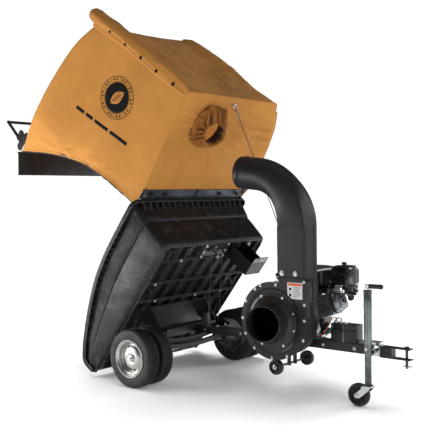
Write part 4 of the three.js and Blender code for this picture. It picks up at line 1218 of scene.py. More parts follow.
def flute(y):
    """How far a long channel is pressed up into the floor at this place across it."""
    if abs(y) > FLUTED_HALF:
        return 0.0
    phase = (y + FLUTED_HALF) / (2 * FLUTED_HALF) * FLUTES % 1
    edge = min(phase, 1 - phase) * 2
    return FLUTE_DEPTH * min(1, max(0.0, (edge - 0.36) / 0.2))


def tub_floor():
    """The ribbed floor, its nose edge notched where the channels run out."""
    rows = []
    lengthwise = [637, 634, 628, 618, 604, 592, 580] + [lerp(560, -400, k / 40) for k in range(41)]
    lengthwise += [-415, -428, -440, -447]
    for x in lengthwise:
        row = []
        for k in range(161):
            y = lerp(-500, 500, k / 160)
            nose = min(1, max(0.0, (628 - x) / 34))
            tail = min(1, max(0.0, (x + 440) / 40))
            lift = flute(y) * nose * tail
            curl = 14 * max(0.0, (x - 612) / 25) ** 2 + 5 * max(0.0, (-430 - x) / 17) ** 2
            row.append(Vector((x, y, UNDERSIDE + 0.4 + lift + curl)))
        rows.append(row)
    return Shape().sheet(rows)


def rim_ribs():
    """Ribs under the rim, across the nose and along both sides."""
    ribs = Shape()
    edge = 705  # the nose at the rim
    for k in range(18):
        y = lerp(-478, 478, k / 17)
        top = UNDERSIDE + 344
        ribs.rings([
            [(edge + 25, y - 2.2, top), (edge + 25, y + 2.2, top), (edge + 22, y + 2.2, top - 24),
             (edge + 22, y - 2.2, top - 24)],
            [(edge - 4, y - 2.2, top), (edge - 4, y + 2.2, top), (edge - 24, y + 2.2, top - 70),
             (edge - 24, y - 2.2, top - 70)],
        ])
    line = [(p.x, p.z) for p in flat_curve(RIM_LINE, 26)]
    for sign in (-1, 1):
        for (x, h), (x2, h2) in zip(line[1:], line[2:]):
            heading = Vector((x2 - x, 0, h2 - h)).normalized()
            down = Vector((heading.z, 0, -heading.x))
            down = down if down.z < 0.3 and (down.z < -0.3 or down.x > 0) else -down
            top = Vector((x, sign * half_at(h), UNDERSIDE + h)) + down * 3
            out = Vector((0, sign, 0))
            thick = heading * 2
            low = top + down * 34 - out * 1
            ribs.rings([
                [top - thick, top + thick, low + thick, low - thick],
                [top - thick + out * 25, top + thick + out * 25, low + thick + out * 22 - down * 10,
                 low - thick + out * 22 - down * 10],
            ])
    return ribs


def underside_frame():
    """Slim ribs and braces across the channels."""
    shape = Shape()
    low = UNDERSIDE - 1
    for x, reach in ((516, 492), (330, 492), (176, 492), (-140, 492), (-330, 488)):
        shape.box(x - 2.2, x + 2.2, -reach, reach, low - 13, low + 2)
        shape.box(x - 7, x + 7, -reach, reach, low - 1.5, low + 1)
    for y in (-488, 488):
        shape.box(-420, 592, y - 2.5, y + 2.5, low - 12, low + 2)
    for y in (-430, -352, -274):
        shape.box(516, 604, y - 2, y + 2, low - 10, low + 2)
    for a, b in (((330, -478), (176, -330)), ((176, -478), (330, -330)), ((176, -478), (-140, -330)),
                 ((20, -478), (176, -360)), ((330, 478), (176, 330)), ((176, 478), (330, 330)),
                 ((-140, 478), (176, 340))):
        shape.bar((*a, low - 5), (*b, low - 5), 3.2, 8)
    return shape


make("tub_walls", tub_walls(), "tub", POLY, TUB, shell=5, smooth=32, closed=False, replaces=("tub",))
make("tub_floor", tub_floor(), "tub", POLY, TUB, shell=-4.5, smooth=32, closed=False)
make("tub_ribs", rim_ribs(), "tub", POLY, TUB, bevel=0.8)
make("tub_underframe", underside_frame(), "tub", POLY, TUB, bevel=0.8)
places = ((516, -300), (516, 60), (516, 250), (330, -420), (176, -330), (176, 330), (176, 60),
          (-140, -470), (-140, -90), (-140, 90), (-140, 330), (-330, -300), (-330, 0), (604, -20),
          (604, 330))
bolts = Shape().bolts([(x, y, UNDERSIDE - 14) for x, y in places], (0, 0, -1))
make("tub_bolts", bolts, "tub", ZINC, TUB)
for node in ("latch_plate", "foot_box", "tub_pivot_lugs"):
    dress(node, POWDER, 1.5)
tread = Shape()
for i in range(4):
    for j in range(8):
        x, y = 604 + 8.5 * i + (j % 2) * 4, 200 + 18.5 * j
        stud = [(0, 5.6), (2.2, 4.4), (2.2, 2.8), (0.4, 2.6)]
        tread.stack((x, y, UNDERSIDE - 194.6), (0, 0, -1), stud, 14)
make("foot_box_tread", tread, "tub", ZINC, TUB)
latch = Shape()
for y in (-46, 46):
    hook = [(588, y, UNDERSIDE - 14), (588, y, UNDERSIDE - 44), (600, y, UNDERSIDE - 58),
            (616, y, UNDERSIDE - 54), (620, y, UNDERSIDE - 38)]
    latch.tube(spline(hook, 18), 5, 10)
latch.bar((588, -72, UNDERSIDE - 26), (588, 72, UNDERSIDE - 26), 4.5, 12)
make("latch_hooks", latch, "tub", POWDER, TUB)
places = [(x, y, UNDERSIDE - 4.4) for x in (520, 612, 560) for y in (-104, 114)]
make("latch_bolts", Shape().bolts(places, (0, 0, -1)), "tub", ZINC, TUB)

# ---------------------------------------------------------------- wheels
AXLE_Z = 184
WHEELS = (("near", "outer", -561), ("near", "inner", -439), ("far", "inner", 439), ("far", "outer", 561))


def tyre():
    """A ribbed turf tyre: grooves round the tread, lugs on the shoulders."""
    outline = [(108, -37), (112, -40), (118, -41.2), (121, -43.2), (124, -42.8), (130, -44.4),
               (142, -46), (148, -46.4), (150, -45.6), (153, -46.2), (162, -45.4), (169, -43.8),
               (172, -42.4), (176, -41), (179.5, -38.5), (182, -34), (183.2, -29)]
    tread = [(183.6, -25)]
    for y in (-20, -10, 0, 10, 20):
        tread += [(183.9, y - 2.6), (179.8, y - 1.7), (179.8, y + 1.7), (183.9, y + 2.6)]
    tread.append((183.6, 25))
    mirrored = [(r, -y) for r, y in reversed(outline)]
    inside = [(106, 33), (106, -33)]
    loop = outline + tread + mirrored + inside
    shoulder = {i for i, (r, y) in enumerate(loop) if 170 < r < 183.5 and abs(y) > 27}
    ribs = {i for i, (r, y) in enumerate(loop) if r > 183.5}

    def wobble(i, k):
        if i in shoulder:
            return -2.6 if k % 5 in (0, 1) else 0.0
        if i in ribs:
            return -1.4 if (k + i) % 5 == 0 else 0.0
        return 0.0

    return Shape().turned(loop + [loop[0]], 260, (0, 0, AXLE_Z), wobble)


def rim(side):
    """A dished steel rim: rolled edge, deep valley, domed disc and hub."""
    face = [(107, -37), (113, -42.6), (117, -43.6), (118.4, -46), (117, -48.4), (113.5, -48),
            (110, -44), (104, -41.5), (99.5, -39), (97.5, -34), (96, -26), (93.5, -17), (89, -12.5),
            (83, -13.5), (77, -18), (68, -23.5), (56, -27.5), (42, -29.5), (30, -29.5), (25.5, -28),
            (24.5, -33), (23, -36.8), (14, -37), (10.4, -37)]
    back = [(10.4, 36), (22, 36), (23.5, 34), (23.5, -8), (40, -21), (60, -19), (76, -10), (86, -4),
            (94, -4), (98, 30), (103, 39), (110, 43), (117, 45.5), (118.4, 43), (117, 40.5), (110, 38)]
    loop = [(r, y * side) for r, y in face + back]
    return Shape().turned(loop + [loop[0]], 96, (0, 0, AXLE_Z))


def valve(side):
    """The valve's stem, which stands out of the dish."""
    foot = (88 * math.cos(0.9), -10 * side, AXLE_Z + 88 * math.sin(0.9))
    return Shape().stack(foot, (0, -side, 0), [(0, 4), (16, 4), (17, 3), (26, 3)], 12)


def slot_mark(shape, side, turn):
    """A slot punched through the dish, drawn as a dark patch of painted shade on it."""
    rows = []
    for k in range(9):
        t = turn + (k - 4) * 0.035
        rows.append([(r * math.cos(t), -side * (deep + 0.5), AXLE_Z + r * math.sin(t))
                     for r, deep in ((70, 22.6), (74, 20.4), (78, 17.6))])
    shape.sheet(rows)


for near_far, place, y in WHEELS:
    side = 1 if y < 0 else -1
    body = f"wheel_{near_far}_{place}"
    at = MACHINE @ Matrix.Translation((0, y, 0))
    make(f"tyre_{near_far}_{place}", tyre(), body, RUBBER, at, smooth=30, replaces=(f"{body}_tyre",))
    make(f"rim_{near_far}_{place}", rim(side), body, RIM, at, smooth=42, replaces=(f"{body}_rim",))
    make(f"valve_{near_far}_{place}", valve(side), body, RUBBER, at)
    slots = Shape()
    for turn in (-1.25, 1.9):
        slot_mark(slots, side, turn)
    make(f"slots_{near_far}_{place}", slots, body, PAINTED_SLOT_SHADE, at, closed=False)

shaft = Shape().bar((0, -612, AXLE_Z), (0, 612, AXLE_Z), 10, 32)
for side in (-1, 1):
    shaft.stack((0, side * 596.4, AXLE_Z), (0, side, 0), [(0, 21), (2, 21)], 32)
    shaft.stack((0, side * 598.4, AXLE_Z), (0, side, 0), [(0, 16), (9, 16), (11, 13)], 6)
    for y in (350, 500):
        shaft.stack((0, side * y - 3, AXLE_Z), (0, 1, 0), [(0, 15), (6, 15)], 24)
make("axle_shaft", shaft, "chassis", ZINC, bevel=0.6, replaces=("axle",))

# ---------------------------------------------------------------- chassis
for node in ("axle_frame", "tongue", "rest_bracket", "roller_bracket", "hitch_clevis"):
    dress(node, POWDER, 2.0)
dress("jack_mount", ZINC, 1.5)
welds = Shape()
for y in (-300, 300):
    welds.tube([(-14, y + 6, 276), (-14, y + 6, 324)], 3, 8)
for x in (35, 40):
    welds.tube([(x, -26, 274), (x, 26, 274)], 2.4, 8)
    welds.tube([(x, -26, 326), (x, 26, 326)], 2.4, 8)
make("weld_beads", welds, "chassis", POWDER)
frame_bolts = Shape()
frame_bolts.bolts([(x, -25, 300) for x in (120, 420, 690, 1040, 1250)], (0, -1, 0))
frame_bolts.bolts([(x, y, 332) for x in (146, 240) for y in (-40, 40)], (0, 0, 1))
for side in (-1, 1):
    places = [(x, side * 305, z) for x, z in ((-60, 300), (20, 300), (20, 190))]
    frame_bolts.bolts(places, (0, side, 0), 9)
for side in (-1, 1):
    frame_bolts.bolts([(x, side * 27, 300) for x in (1352, 1396)], (0, side, 0))
make("frame_bolts", frame_bolts, "chassis", ZINC)

# two pressed cross members carry the pivot under the tub
members = Shape()
for x, z, bow in ((-34, 262, 26), (8, 224, 20)):
    rows = []
    for k in range(25):
        t = k / 24
        drop = bow * math.sin(math.pi * t)
        y = lerp(-294, 294, t)
        top = z - drop
        rows.append([(x - 16, y, top), (x - 16, y, top - 26), (x - 12, y, top - 30),
                     (x + 12, y, top - 30), (x + 16, y, top - 26), (x + 16, y, top),
                     (x + 13, y, top), (x + 11, y, top - 25), (x - 11, y, top - 25),
                     (x - 13, y, top)])
    members.rings(rows)
make("cross_members", members, "chassis", POWDER, bevel=0.8)


def small_wheel(radius, half, hub):
    """The outline of a caster wheel: rounded tread, recessed web and a hub."""
    outline = [(hub, -half), (hub + 7, -half), (hub + 9, -half + 2), (hub + 9.5, -half * 0.5),
               (radius * 0.62, -half * 0.42), (radius * 0.7, -half * 0.5),
               (radius * 0.74, -half + 0.8), (radius * 0.8, -half), (radius * 0.9, -half * 0.97),
               (radius * 0.965, -half * 0.82), (radius * 0.995, -half * 0.5), (radius, 0)]
    return outline + [(r, -y) for r, y in reversed(outline[:-1])] + [outline[0]]


def spoked(shape, centre, radius, half, hub, spokes):
    """A small wheel with ribs on its web."""
    centre = Vector(centre)
    shape.turned(small_wheel(radius, half, hub), 64, centre)
    for side in (-1, 1):
        for t in angles(spokes):
            across = Vector((math.sin(t), 0, -math.cos(t))) * 1.6
            a = centre + Vector((math.cos(t), 0, math.sin(t))) * (hub + 7)
            b = centre + Vector((math.cos(t), 0, math.sin(t))) * radius * 0.74
            low, high = Vector((0, side * half * 0.4, 0)), Vector((0, side * half * 0.86, 0))
            shape.rings([[p - across + low, p + across + low, p + across + high, p - across + high]
                         for p in (a, b)])


for label, side in (("near", -1), ("far", 1)):
    roller = Shape()
    spoked(roller, (801, side * 165, 161), 46, 17.5, 7.6, 6)
    make(f"roller_wheel_{label}", roller, f"roller_{label}_wheel", NOZZLE, replaces=(f"roller_{label}",))
    cap = Shape().stack((801, side * 182, 161), (0, side, 0),
                        [(0, 15), (2, 15), (3, 12), (3, 9), (10, 9), (12, 7)], 24)
    make(f"roller_cap_{label}", cap, "chassis", ZINC, bevel=0.4)

tread = Shape()
spoked(tread, (1327, -110, 65), 65, 19, 6.8, 8)
make("caster_tyre", tread, "caster_wheel", RUBBER, replaces=("caster_wheel",))
dress("caster_fork", ZINC, 1.2)
fork_bolts = Shape()
for side in (-1, 1):
    fork_bolts.bolt((1327, -110 + side * 27, 65), (0, side, 0), 10)
make("fork_bolts", fork_bolts, "caster", ZINC)

# ---------------------------------------------------------------- blower
FRONT, BACK = -238, -88  # the casing's faces across the machine
DUCT = (866, 1048, 703)  # the upright duct's two walls and its top


def scroll(radius, left, right, top):
    """The casing's outline: a round belly that runs into the upright duct."""
    reach = left - BLOWER.x
    meet = math.asin(reach / radius)
    outline = [(right, BLOWER.z), (right, top), (left, top),
               (left, BLOWER.z + radius * math.cos(meet) + 14),
               (left - 22, BLOWER.z + math.sqrt(radius**2 - (reach - 22) ** 2))]
    start = math.pi / 2 - meet + 0.12
    for k in range(1, 88):
        a = start + (2 * math.pi - start) * k / 88
        outline.append((BLOWER.x + radius * math.cos(a), BLOWER.z + radius * math.sin(a)))
    return outline


def holed_plate(outline, y0, y1, hole):
    """A flat plate with a round eye: outline and eye are bridged on both faces."""
    outer = evenly([(x, 0, z) for x, z in outline + outline[:1]], 361)[:-1]
    rings = []
    for y, r in ((y0, None), (y0, hole), (y1, hole), (y1, None)):
        ring = []
        for p in outer:
            if r is None:
                ring.append(Vector((p.x, y, p.z)))
            else:
                way = Vector((p.x - BLOWER.x, 0, p.z - BLOWER.z)).normalized()
                ring.append(Vector((BLOWER.x + way.x * r, y, BLOWER.z + way.z * r)))
        rings.append(ring)
    rings.append(rings[0])
    return Shape().rings(rings, caps=False)


def casing():
    """The scroll's wall and back, open to the duct above."""
    outer = scroll(212, DUCT[0], DUCT[1], DUCT[2])
    shape = Shape()
    shape.rings([[(x, y, z) for x, z in outer] for y in (FRONT, BACK)], caps=False)
    shape.faces = [f for f in shape.faces if not all(shape.points[i].z > DUCT[2] - 1 for i in f)]
    count = len(outer)
    shape.faces.append(list(range(count, 2 * count)))
    return shape


plate = holed_plate(scroll(230, DUCT[0] - 1, DUCT[1] + 15, DUCT[2]), FRONT - 5, FRONT - 0.3, 146)
make("blower_plate", plate, "chassis", CHARCOAL, bevel=1.2, smooth=30,
     replaces=("blower_front_plate",))
make("blower_casing", casing(), "chassis", CHARCOAL, shell=4, smooth=30, replaces=("blower_housing",))
ring = Shape()
ring.turned([(168, FRONT - 5), (194, FRONT - 5), (195, FRONT - 8), (192, FRONT - 10.5),
             (188, FRONT - 9), (183, FRONT - 7.2), (168, FRONT - 7.2), (168, FRONT - 5)],
            96, (BLOWER.x, 0, BLOWER.z))
make("blower_ring", ring, "chassis", CHARCOAL, smooth=30)
flange = Shape()
for y in (BACK + 2, (FRONT + BACK) / 2 + 28):
    outline = scroll(214, DUCT[0] - 2, DUCT[1] + 2, DUCT[2] - 4)
    path = [(x, y, z) for x, z in outline]
    flange.tube(path[3:] + path[:1], 2.2, 6)
make("blower_seams", flange, "chassis", CHARCOAL)
strip = Shape()
strip.box(DUCT[1] + 0.3, DUCT[1] + 3, FRONT + 20, FRONT + 58, 470, 690)
strip.box(DUCT[1] + 0.3, DUCT[1] + 3, FRONT + 96, FRONT + 116, 470, 690)
make("blower_strips", strip, "chassis", CHARCOAL, bevel=1.0)


def round_eye(radius, y, bearings):
    """Places round the blower's axis, from bearings in degrees."""
    turns = [math.radians(degrees) for degrees in bearings]
    return [(BLOWER.x + radius * math.cos(a), y, BLOWER.z + radius * math.sin(a)) for a in turns]


corners = ((1054, 470), (1056, 560), (1054, 690), (1046, 356), (872, 690), (858, 664))
plate_bolts = Shape()
plate_bolts.bolts(round_eye(220, FRONT - 5, (268, 297, 232, 205, 180, 152, 125, 113)), (0, -1, 0), 6.5)
plate_bolts.bolts([(x, FRONT - 5, z) for x, z in corners], (0, -1, 0), 6.5)
plate_bolts.bolts(round_eye(158, FRONT - 10.5, (20, 62, 118, 180, 242, 300, 344)), (0, -1, 0), 6)
make("blower_bolts", plate_bolts, "chassis", ZINC)

label = Shape()
label.box(940, 1043, FRONT - 6.0, FRONT - 5.2, 590, 684)
make("label_plain", label, "chassis", PAPER)
header = Shape()
header.box(944, 1039, FRONT - 6.4, FRONT - 5.9, 665, 680)
make("label_header", header, "chassis", ORANGE)
lines = Shape()
for k in range(6):
    z = 656 - 10.4 * k
    lines.box(980, 1036 - 7 * (k % 3), FRONT - 6.3, FRONT - 5.9, z - 1.2, z + 1.2)
for z in (646, 612):
    lines.stack((960, FRONT - 5.9, z), (0, -1, 0), [(0, 8), (0.4, 8)], 28)
make("label_rules", lines, "chassis", INK)

# out of the plate, forward, radius, turn in degrees
NOZZLE_LINE = [
    (5.3, 0, 167, 0), (9.4, 0, 167, 0), (10.4, 0, 165.5, 0), (11, 0, 153, 0), (14, 0.4, 147, 1),
    (24, 2, 134, 4), (45, 6, 118, 9), (80, 13, 107.5, 14), (120, 20, 104.4, 16.4),
    (134, 22.8, 104, 17), (137, 23.2, 104.6, 17), (139, 23.5, 103, 17), (139, 23.5, 99.5, 17),
    (120, 20, 98.6, 16.4), (80, 13, 102, 14), (45, 6, 113, 9), (24, 2, 128, 4), (12, 0, 142, 0),
    (2, 0, 144, 0),
]


def nozzle():
    """The bell-mouthed intake, turned a little towards the hitch."""
    rings = []
    for out, forward, radius, turn in NOZZLE_LINE:
        spin = Matrix.Rotation(math.radians(turn), 3, "Z")
        centre = Vector((BLOWER.x + forward, FRONT - out, BLOWER.z))
        rings.append([centre + spin @ Vector((radius * math.cos(t), 0, radius * math.sin(t)))
                      for t in angles(96)])
    return Shape().rings(rings, caps=False)


make("nozzle", nozzle(), "chassis", NOZZLE, smooth=32, replaces=("intake_nozzle",))
dress("impeller", POWDER, 1.5)

# the chute's bend: the height where it starts, its radius and its angle
BEND_Z, BEND_R, BEND = 1005, 310, math.radians(84)
DUCT_X, DUCT_Y = (DUCT[0] + DUCT[1]) / 2, (FRONT + BACK) / 2


def chute_ring(along, inset, count=96):
    """One section: rectangular at the foot, round at the outlet."""
    bend = min(max(along, 0.0), 1.0)
    turn = BEND * bend
    roundness = min(1.0, bend / 0.8)
    roundness = roundness * roundness * (3 - 2 * roundness)
    centre = Vector((DUCT_X - BEND_R * (1 - math.cos(turn)), DUCT_Y, BEND_Z + BEND_R * math.sin(turn)))
    if along < 0:
        centre.z = BEND_Z + along
    if along > 1:
        centre += Vector((-math.sin(turn), 0, math.cos(turn))) * (along - 1)
    spin = Matrix.Rotation(-turn, 3, "Y")
    ring = []
    for k in range(count):
        a = 2 * math.pi * (k + 0.5) / count
        c, s = math.cos(a), math.sin(a)
        corner = 1 / max(abs(c), abs(s))
        corner = min(corner, 1.36)
        across = lerp(91 * c * corner, 98 * c, roundness) - inset * c
        deep = lerp(75 * s * corner, 98 * s, roundness) - inset * s
        ring.append(centre + spin @ Vector((across, deep, 0)))
    return ring


def chute():
    """The discharge chute, with a rolled bead near its outlet."""
    steps = [704 - BEND_Z, 712 - BEND_Z, 900 - BEND_Z] + [k / 30 for k in range(31)]
    rings = [chute_ring(t, 0) for t in steps]
    for reach, proud in ((60, 0), (80, 0), (84, 1), (88, 3.6), (92, 1), (96, 0), (120, 0), (121, 0.8)):
        rings.append(chute_ring(1 + reach, -proud))
    for reach in (121, 60):
        rings.append(chute_ring(1 + reach, 4))
    rings += [chute_ring(t, 4) for t in reversed(steps)]
    return Shape().rings(rings, caps=False)


make("chute", chute(), "chassis", CHARCOAL, smooth=34, replaces=("discharge_chute",))
chute_trim = Shape()
chute_trim.box(DUCT[0] - 6, DUCT[1] + 6, FRONT - 6, FRONT + 1, 702.5, 709)
chute_trim.box(DUCT[0] + 2, DUCT[1] - 2, FRONT - 1.6, FRONT + 0.5, 712, 1004)
chute_trim.box(DUCT[1] - 0.5, DUCT[1] + 2.2, FRONT + 20, FRONT + 26, 712, 1004)
chute_trim.box(DUCT[1] - 0.5, DUCT[1] + 2.2, FRONT + 110, FRONT + 116, 712, 1004)
make("chute_trim", chute_trim, "chassis", CHARCOAL, bevel=1.0)
chute_bolts = Shape().bolts([(x, FRONT - 1.6, 734) for x in (900, 994)], (0, -1, 0), 11)
chute_bolts.bolt((864, FRONT - 1, 722), (-1, 0, 0), 8)
make("chute_bolts", chute_bolts, "chassis", ZINC)


# ---------------------------------------------------------------- engine
def soft_box(shape, x0, x1, y0, y1, levels, corner, count=8):
    """A moulded box: rounded upright corners, levels of (height, inset)."""
    rings = []
    for z, inset in levels:
        ring = []
        cx, cy = (x0 + x1) / 2, (y0 + y1) / 2
        hx, hy = (x1 - x0) / 2 - inset, (y1 - y0) / 2 - inset
        for sx, sy in ((1, 1), (-1, 1), (-1, -1), (1, -1)):
            for k in range(count):
                a = math.atan2(sy, sx) - math.pi / 4 + k * math.pi / 2 / (count - 1)
                ring.append((cx + sx * (hx - corner) + corner * math.cos(a),
                             cy + sy * (hy - corner) + corner * math.sin(a), z))
        rings.append(ring)
    return shape.rings(rings)


dress("engine_plate", POWDER, 1.6)
dress("crankcase", CAST, 3.0)
levels = [(628, 14), (631, 8), (640, 2), (660, 0), (672, 0), (673, 2.4), (677, 2.4), (678, 0),
          (718, 0), (730, 3), (738, 8), (743, 16), (746, 30)]
tank = soft_box(Shape(), 752, 985, -46, 246, levels, 40, 10)
make("fuel_tank_shell", tank, "chassis", ENGINE_BLACK, smooth=24, replaces=("fuel_tank",))
cap_line = [(0, 29), (3, 30.5), (12, 30.5), (15, 28), (17.5, 24), (18, 0.5)]
filler = Shape().stack((840, 120, 746.2), (0, 0, 1), cap_line, 48)
for t in angles(16):
    a = Vector((840 + 30 * math.cos(t), 120 + 30 * math.sin(t), 749.4))
    filler.bar(a, a + Vector((0, 0, 8.6)), 2.2, 8)
make("fuel_cap_shell", filler, "fuel_cap", ENGINE_BLACK, smooth=35, replaces=("fuel_cap",))
strap = Shape()
strap.box(758, 979, 70, 82, 744.8, 747.4)
strap.box(984, 987.5, 40, 58, 640, 728)
make("tank_trim", strap, "chassis", ENGINE_GREY, bevel=1)

levels = [(640, 8), (644, 2), (650, 0), (678, 0), (679, 2.4), (683, 2.4), (684, 0), (736, 1),
          (746, 5), (753, 12), (756, 22)]
cleaner = soft_box(Shape(), 1010, 1132, 108, 186, levels, 18, 10)
for k in range(6):
    x = 1030 + 15 * k
    cleaner.box(x, x + 6, 105.6, 112, 692, 736)
    cleaner.box(x, x + 6, 105.6, 112, 650, 674)
for k in range(3):
    y = 128 + 17 * k
    cleaner.box(1128, 1134.4, y, y + 7, 692, 736)
cleaner.stack((1086, 147, 755), (0, 0, 1), [(0, 12), (5, 12), (7, 9), (13, 8)], 24)
cleaner.box(1071, 1101, 143, 151, 763, 777)
cleaner.box(1040, 1104, 104, 110, 676, 686)
make("air_cleaner_shell", cleaner, "chassis", ENGINE_BLACK, bevel=1.4, smooth=30,
     replaces=("air_cleaner",))

levels = [(632, 10), (636, 3), (642, 0), (724, 0), (738, 5), (746, 13), (750, 24)]
guard = soft_box(Shape(), 1012, 1128, 190, 256, levels, 20, 10)
for k in range(6):
    x = 1026 + 16 * k
    guard.box(x, x + 7, 200, 246, 748, 752.4)
for k in range(4):
    y = 200 + 13 * k
    guard.box(1124, 1130.6, y, y + 6, 650, 728)
make("muffler_shell", guard, "chassis", ENGINE_GREY, bevel=1.6, smooth=30, replaces=("muffler_guard",))

shroud = Shape()
rings = []
for y, r in ((118.3, 124), (122, 128), (196, 128), (212, 126), (228, 120), (244, 106), (254, 90),
             (256, 84)):
    rings.append([(BLOWER.x + r * math.cos(t), y, BLOWER.z + max(r * math.sin(t), -104.6))
                  for t in angles(80)])
shroud.rings(rings)
levels = [(0, 80), (4, 82), (10, 80), (16, 72), (21, 62), (22, 40)]
shroud.stack((BLOWER.x, 255, BLOWER.z), (0, 1, 0), levels, 72)
for t in angles(26):
    spoke = Vector((math.cos(t), 0, math.sin(t)))
    shroud.bar(BLOWER + spoke * 48 + Vector((0, 273, 0)), BLOWER + spoke * 76 + Vector((0, 267, 0)),
               2.6, 8)
shroud.bar((863, 252, 516), (863, 288, 516), 9, 20)
shroud.bar((839, 291, 516), (887, 291, 516), 8, 20)
make("fan_shroud_shell", shroud, "chassis", ENGINE_BLACK, smooth=30, replaces=("fan_shroud",))

# the cylinder and its fins, on the slope of the bore
head = Shape()
head.box(112, 244, -46, 36, -48, 48)
for k in range(11):
    x = 141 + 9.3 * k
    head.box(x, x + 3.2, -68, 37, -66, 66)
make("cylinder_fins", head, "chassis", CAST, CYLINDER, bevel=0.7, replaces=("cylinder",))


def squircle(x, half):
    """A square ring with well rounded corners, square to the bore."""
    ring = []
    for t in angles(72):
        squeeze = max(abs(math.cos(t)), abs(math.sin(t))) ** 0.45
        ring.append((x, half * math.cos(t) / squeeze, half * math.sin(t) / squeeze))
    return ring


levels = [(244.5, 58), (248, 60.5), (253, 60.5), (255, 57), (262, 54), (276, 52), (284, 47),
          (288, 40), (288, 30), (284, 28), (284, 12)]
cover_cap = Shape().rings([squircle(x, half) for x, half in levels])
cover_cap.stack((284, 0, 0), (1, 0, 0), [(0, 25), (4, 25), (6, 22), (6, 13), (3, 11)], 40)
for t in angles(8):
    y, z = math.cos(t), math.sin(t)
    cover_cap.bar((283, 12 * y, 12 * z), (288.4, 24 * y, 24 * z), 1.8, 6)
make("valve_cover_shell", cover_cap, "chassis", CAST, CYLINDER, bevel=0.5, smooth=30,
     replaces=("valve_cover",))
gasket = Shape()
for levels in (((241, 61.5), (244.3, 62), (244.4, 59)), ((253, 58.4), (256.6, 58.8), (256.8, 55.6)),
               ((283.6, 48.5), (286, 48.2), (286.2, 44))):
    gasket.rings([squircle(x, half) for x, half in levels])
gasket.stack((285.4, 0, 0), (1, 0, 0), [(0, 28.5), (2.4, 28.5), (2.6, 25)], 40)
make("valve_cover_gasket", gasket, "chassis", ENGINE_BLACK, CYLINDER)
cap_bolts = Shape().bolts([(254, y, z) for z in (46, -46) for y in (46, -46)], (1, 0, 0), 6)
cap_bolts.bolt((285, 0, 38), (1, 0, 0), 4.5, washer=False)
make("valve_cover_bolts", cap_bolts, "chassis", ZINC, CYLINDER)
plug = Shape()
levels = [(0, 10), (10, 10), (12, 7), (30, 7), (34, 9), (46, 9), (48, 6)]
plug.stack((236, -30, 66), (0.3, -0.3, 1), levels, 16)
make("spark_plug_cap", plug, "chassis", ENGINE_BLACK, CYLINDER)
spark = spline([(251, -46, 112), (250, -60, 126), (224, -70, 130), (190, -64, 116), (168, -48, 98),
                (150, -40, 84)], 30)
spark_lead = make("spark_lead", Shape().tube(spark, 3.4, 10), "chassis", ENGINE_BLACK, CYLINDER,
                  smooth=80)

dress("carburettor", CAST, 2.0)
dress("throttle_lever", ENGINE_BLACK, 1.0)
linkage = Shape()
linkage.stack((1126, 155, 580), (0, 0, -1), [(0, 19), (4, 20), (22, 19), (30, 14), (33, 5)], 28)
linkage.stack((1150, 155, 608), (1, 0, 0), [(0, 13), (5, 13), (7, 9), (22, 9), (24, 6)], 24)
linkage.box(1100, 1106, 120, 176, 586, 636)
linkage.box(1150, 1162, 132, 178, 618, 640)
linkage.tube(spline([(1108, 114, 642), (1096, 110, 634), (1080, 106, 626), (1046, 96, 622),
                     (1004, 84, 618)], 26), 2.4, 8)
linkage.tube(spline([(1138, 131, 592), (1150, 128, 584), (1160, 129, 570), (1152, 136, 560),
                     (1138, 146, 556)], 24), 2.6, 8)
linkage.box(1112, 1120, 127, 131, 604, 632)
linkage.box(1150, 1176, 128, 134, 586, 594)
linkage.stack((1140, 139, 624), (0, -1, 0), [(0, 9), (3, 9), (4, 5), (11, 5), (12, 3)], 16)
linkage.box(1096, 1100, 100, 134, 612, 640)
make("carburettor_linkage", linkage, "chassis", ENGINE_BLACK, bevel=0.8)
springs = Shape()
coil = [(1062 + k * 0.55, 104 + 4 * math.sin(k * 0.9), 612 + 4 * math.cos(k * 0.9) - k * 0.12)
        for k in range(80)]
springs.tube(coil, 0.9, 5)
places = ((1116, 130, 584), (1146, 130, 586), (1116, 130, 630), (1156, 131, 630))
springs.bolts(places, (0, -1, 0), 3.6)
springs.stack((1126, 155, 548), (0, 0, -1), [(0, 6), (5, 6), (6, 4)], 6)
make("carburettor_spring", springs, "chassis", ZINC)
cowl = soft_box(Shape(), 944, 1046, 34, 176, [(592, 6), (596, 0), (622, 0), (627, 4)], 16, 8)
for k in range(6):
    cowl.box(986, 1050, 96, 178, 620, 641)
    cowl.box(956 + 15 * k, 962 + 15 * k, 31.6, 36, 598, 620)
cowl.box(1040, 1050, 60, 160, 560, 600)
make("cylinder_cowl", cowl, "chassis", ENGINE_BLACK, bevel=1.2)

places = ((770, 384), (914, 384), (770, 530), (914, 530), (842, 380))
case_bolts = Shape().bolts([(x, -50, z) for x, z in places], (0, -1, 0), 7)
case_bolts.bolts([(x, y, 344) for y in (-60, 130) for x in (738, 948)], (0, 0, 1))
make("crankcase_bolts", case_bolts, "chassis", ZINC)
cooling = Shape()
for k in range(9):
    z = 392 + 15 * k
    cooling.box(926, 938, -46, 60, z, z + 4)
levels = [(0, 14), (16, 14), (20, 17), (30, 17), (33, 12)]
cooling.stack((952, -20, 380), (0.5, -0.2, 0.85), levels, 24)
cooling.box(930, 960, -52, 60, 344.5, 372)
make("crankcase_ribs", cooling, "chassis", CAST, bevel=1)
stay = Shape()
stay.rings([[(946, y, 344), (970, y, 344), (1010, y, 470), (990, y, 474)] for y in (-30, -24)])
stay.rings([[(938, y, 336), (1092, y, 326), (1092, y, 331), (938, y, 343)] for y in (-24, 24)])
make("engine_stay", stay, "chassis", POWDER, bevel=1.2)
bracket = Shape()
bracket.box(704, 982, -86, -80, 326, 352)
make("engine_skirt", bracket, "chassis", POWDER, bevel=1.2)

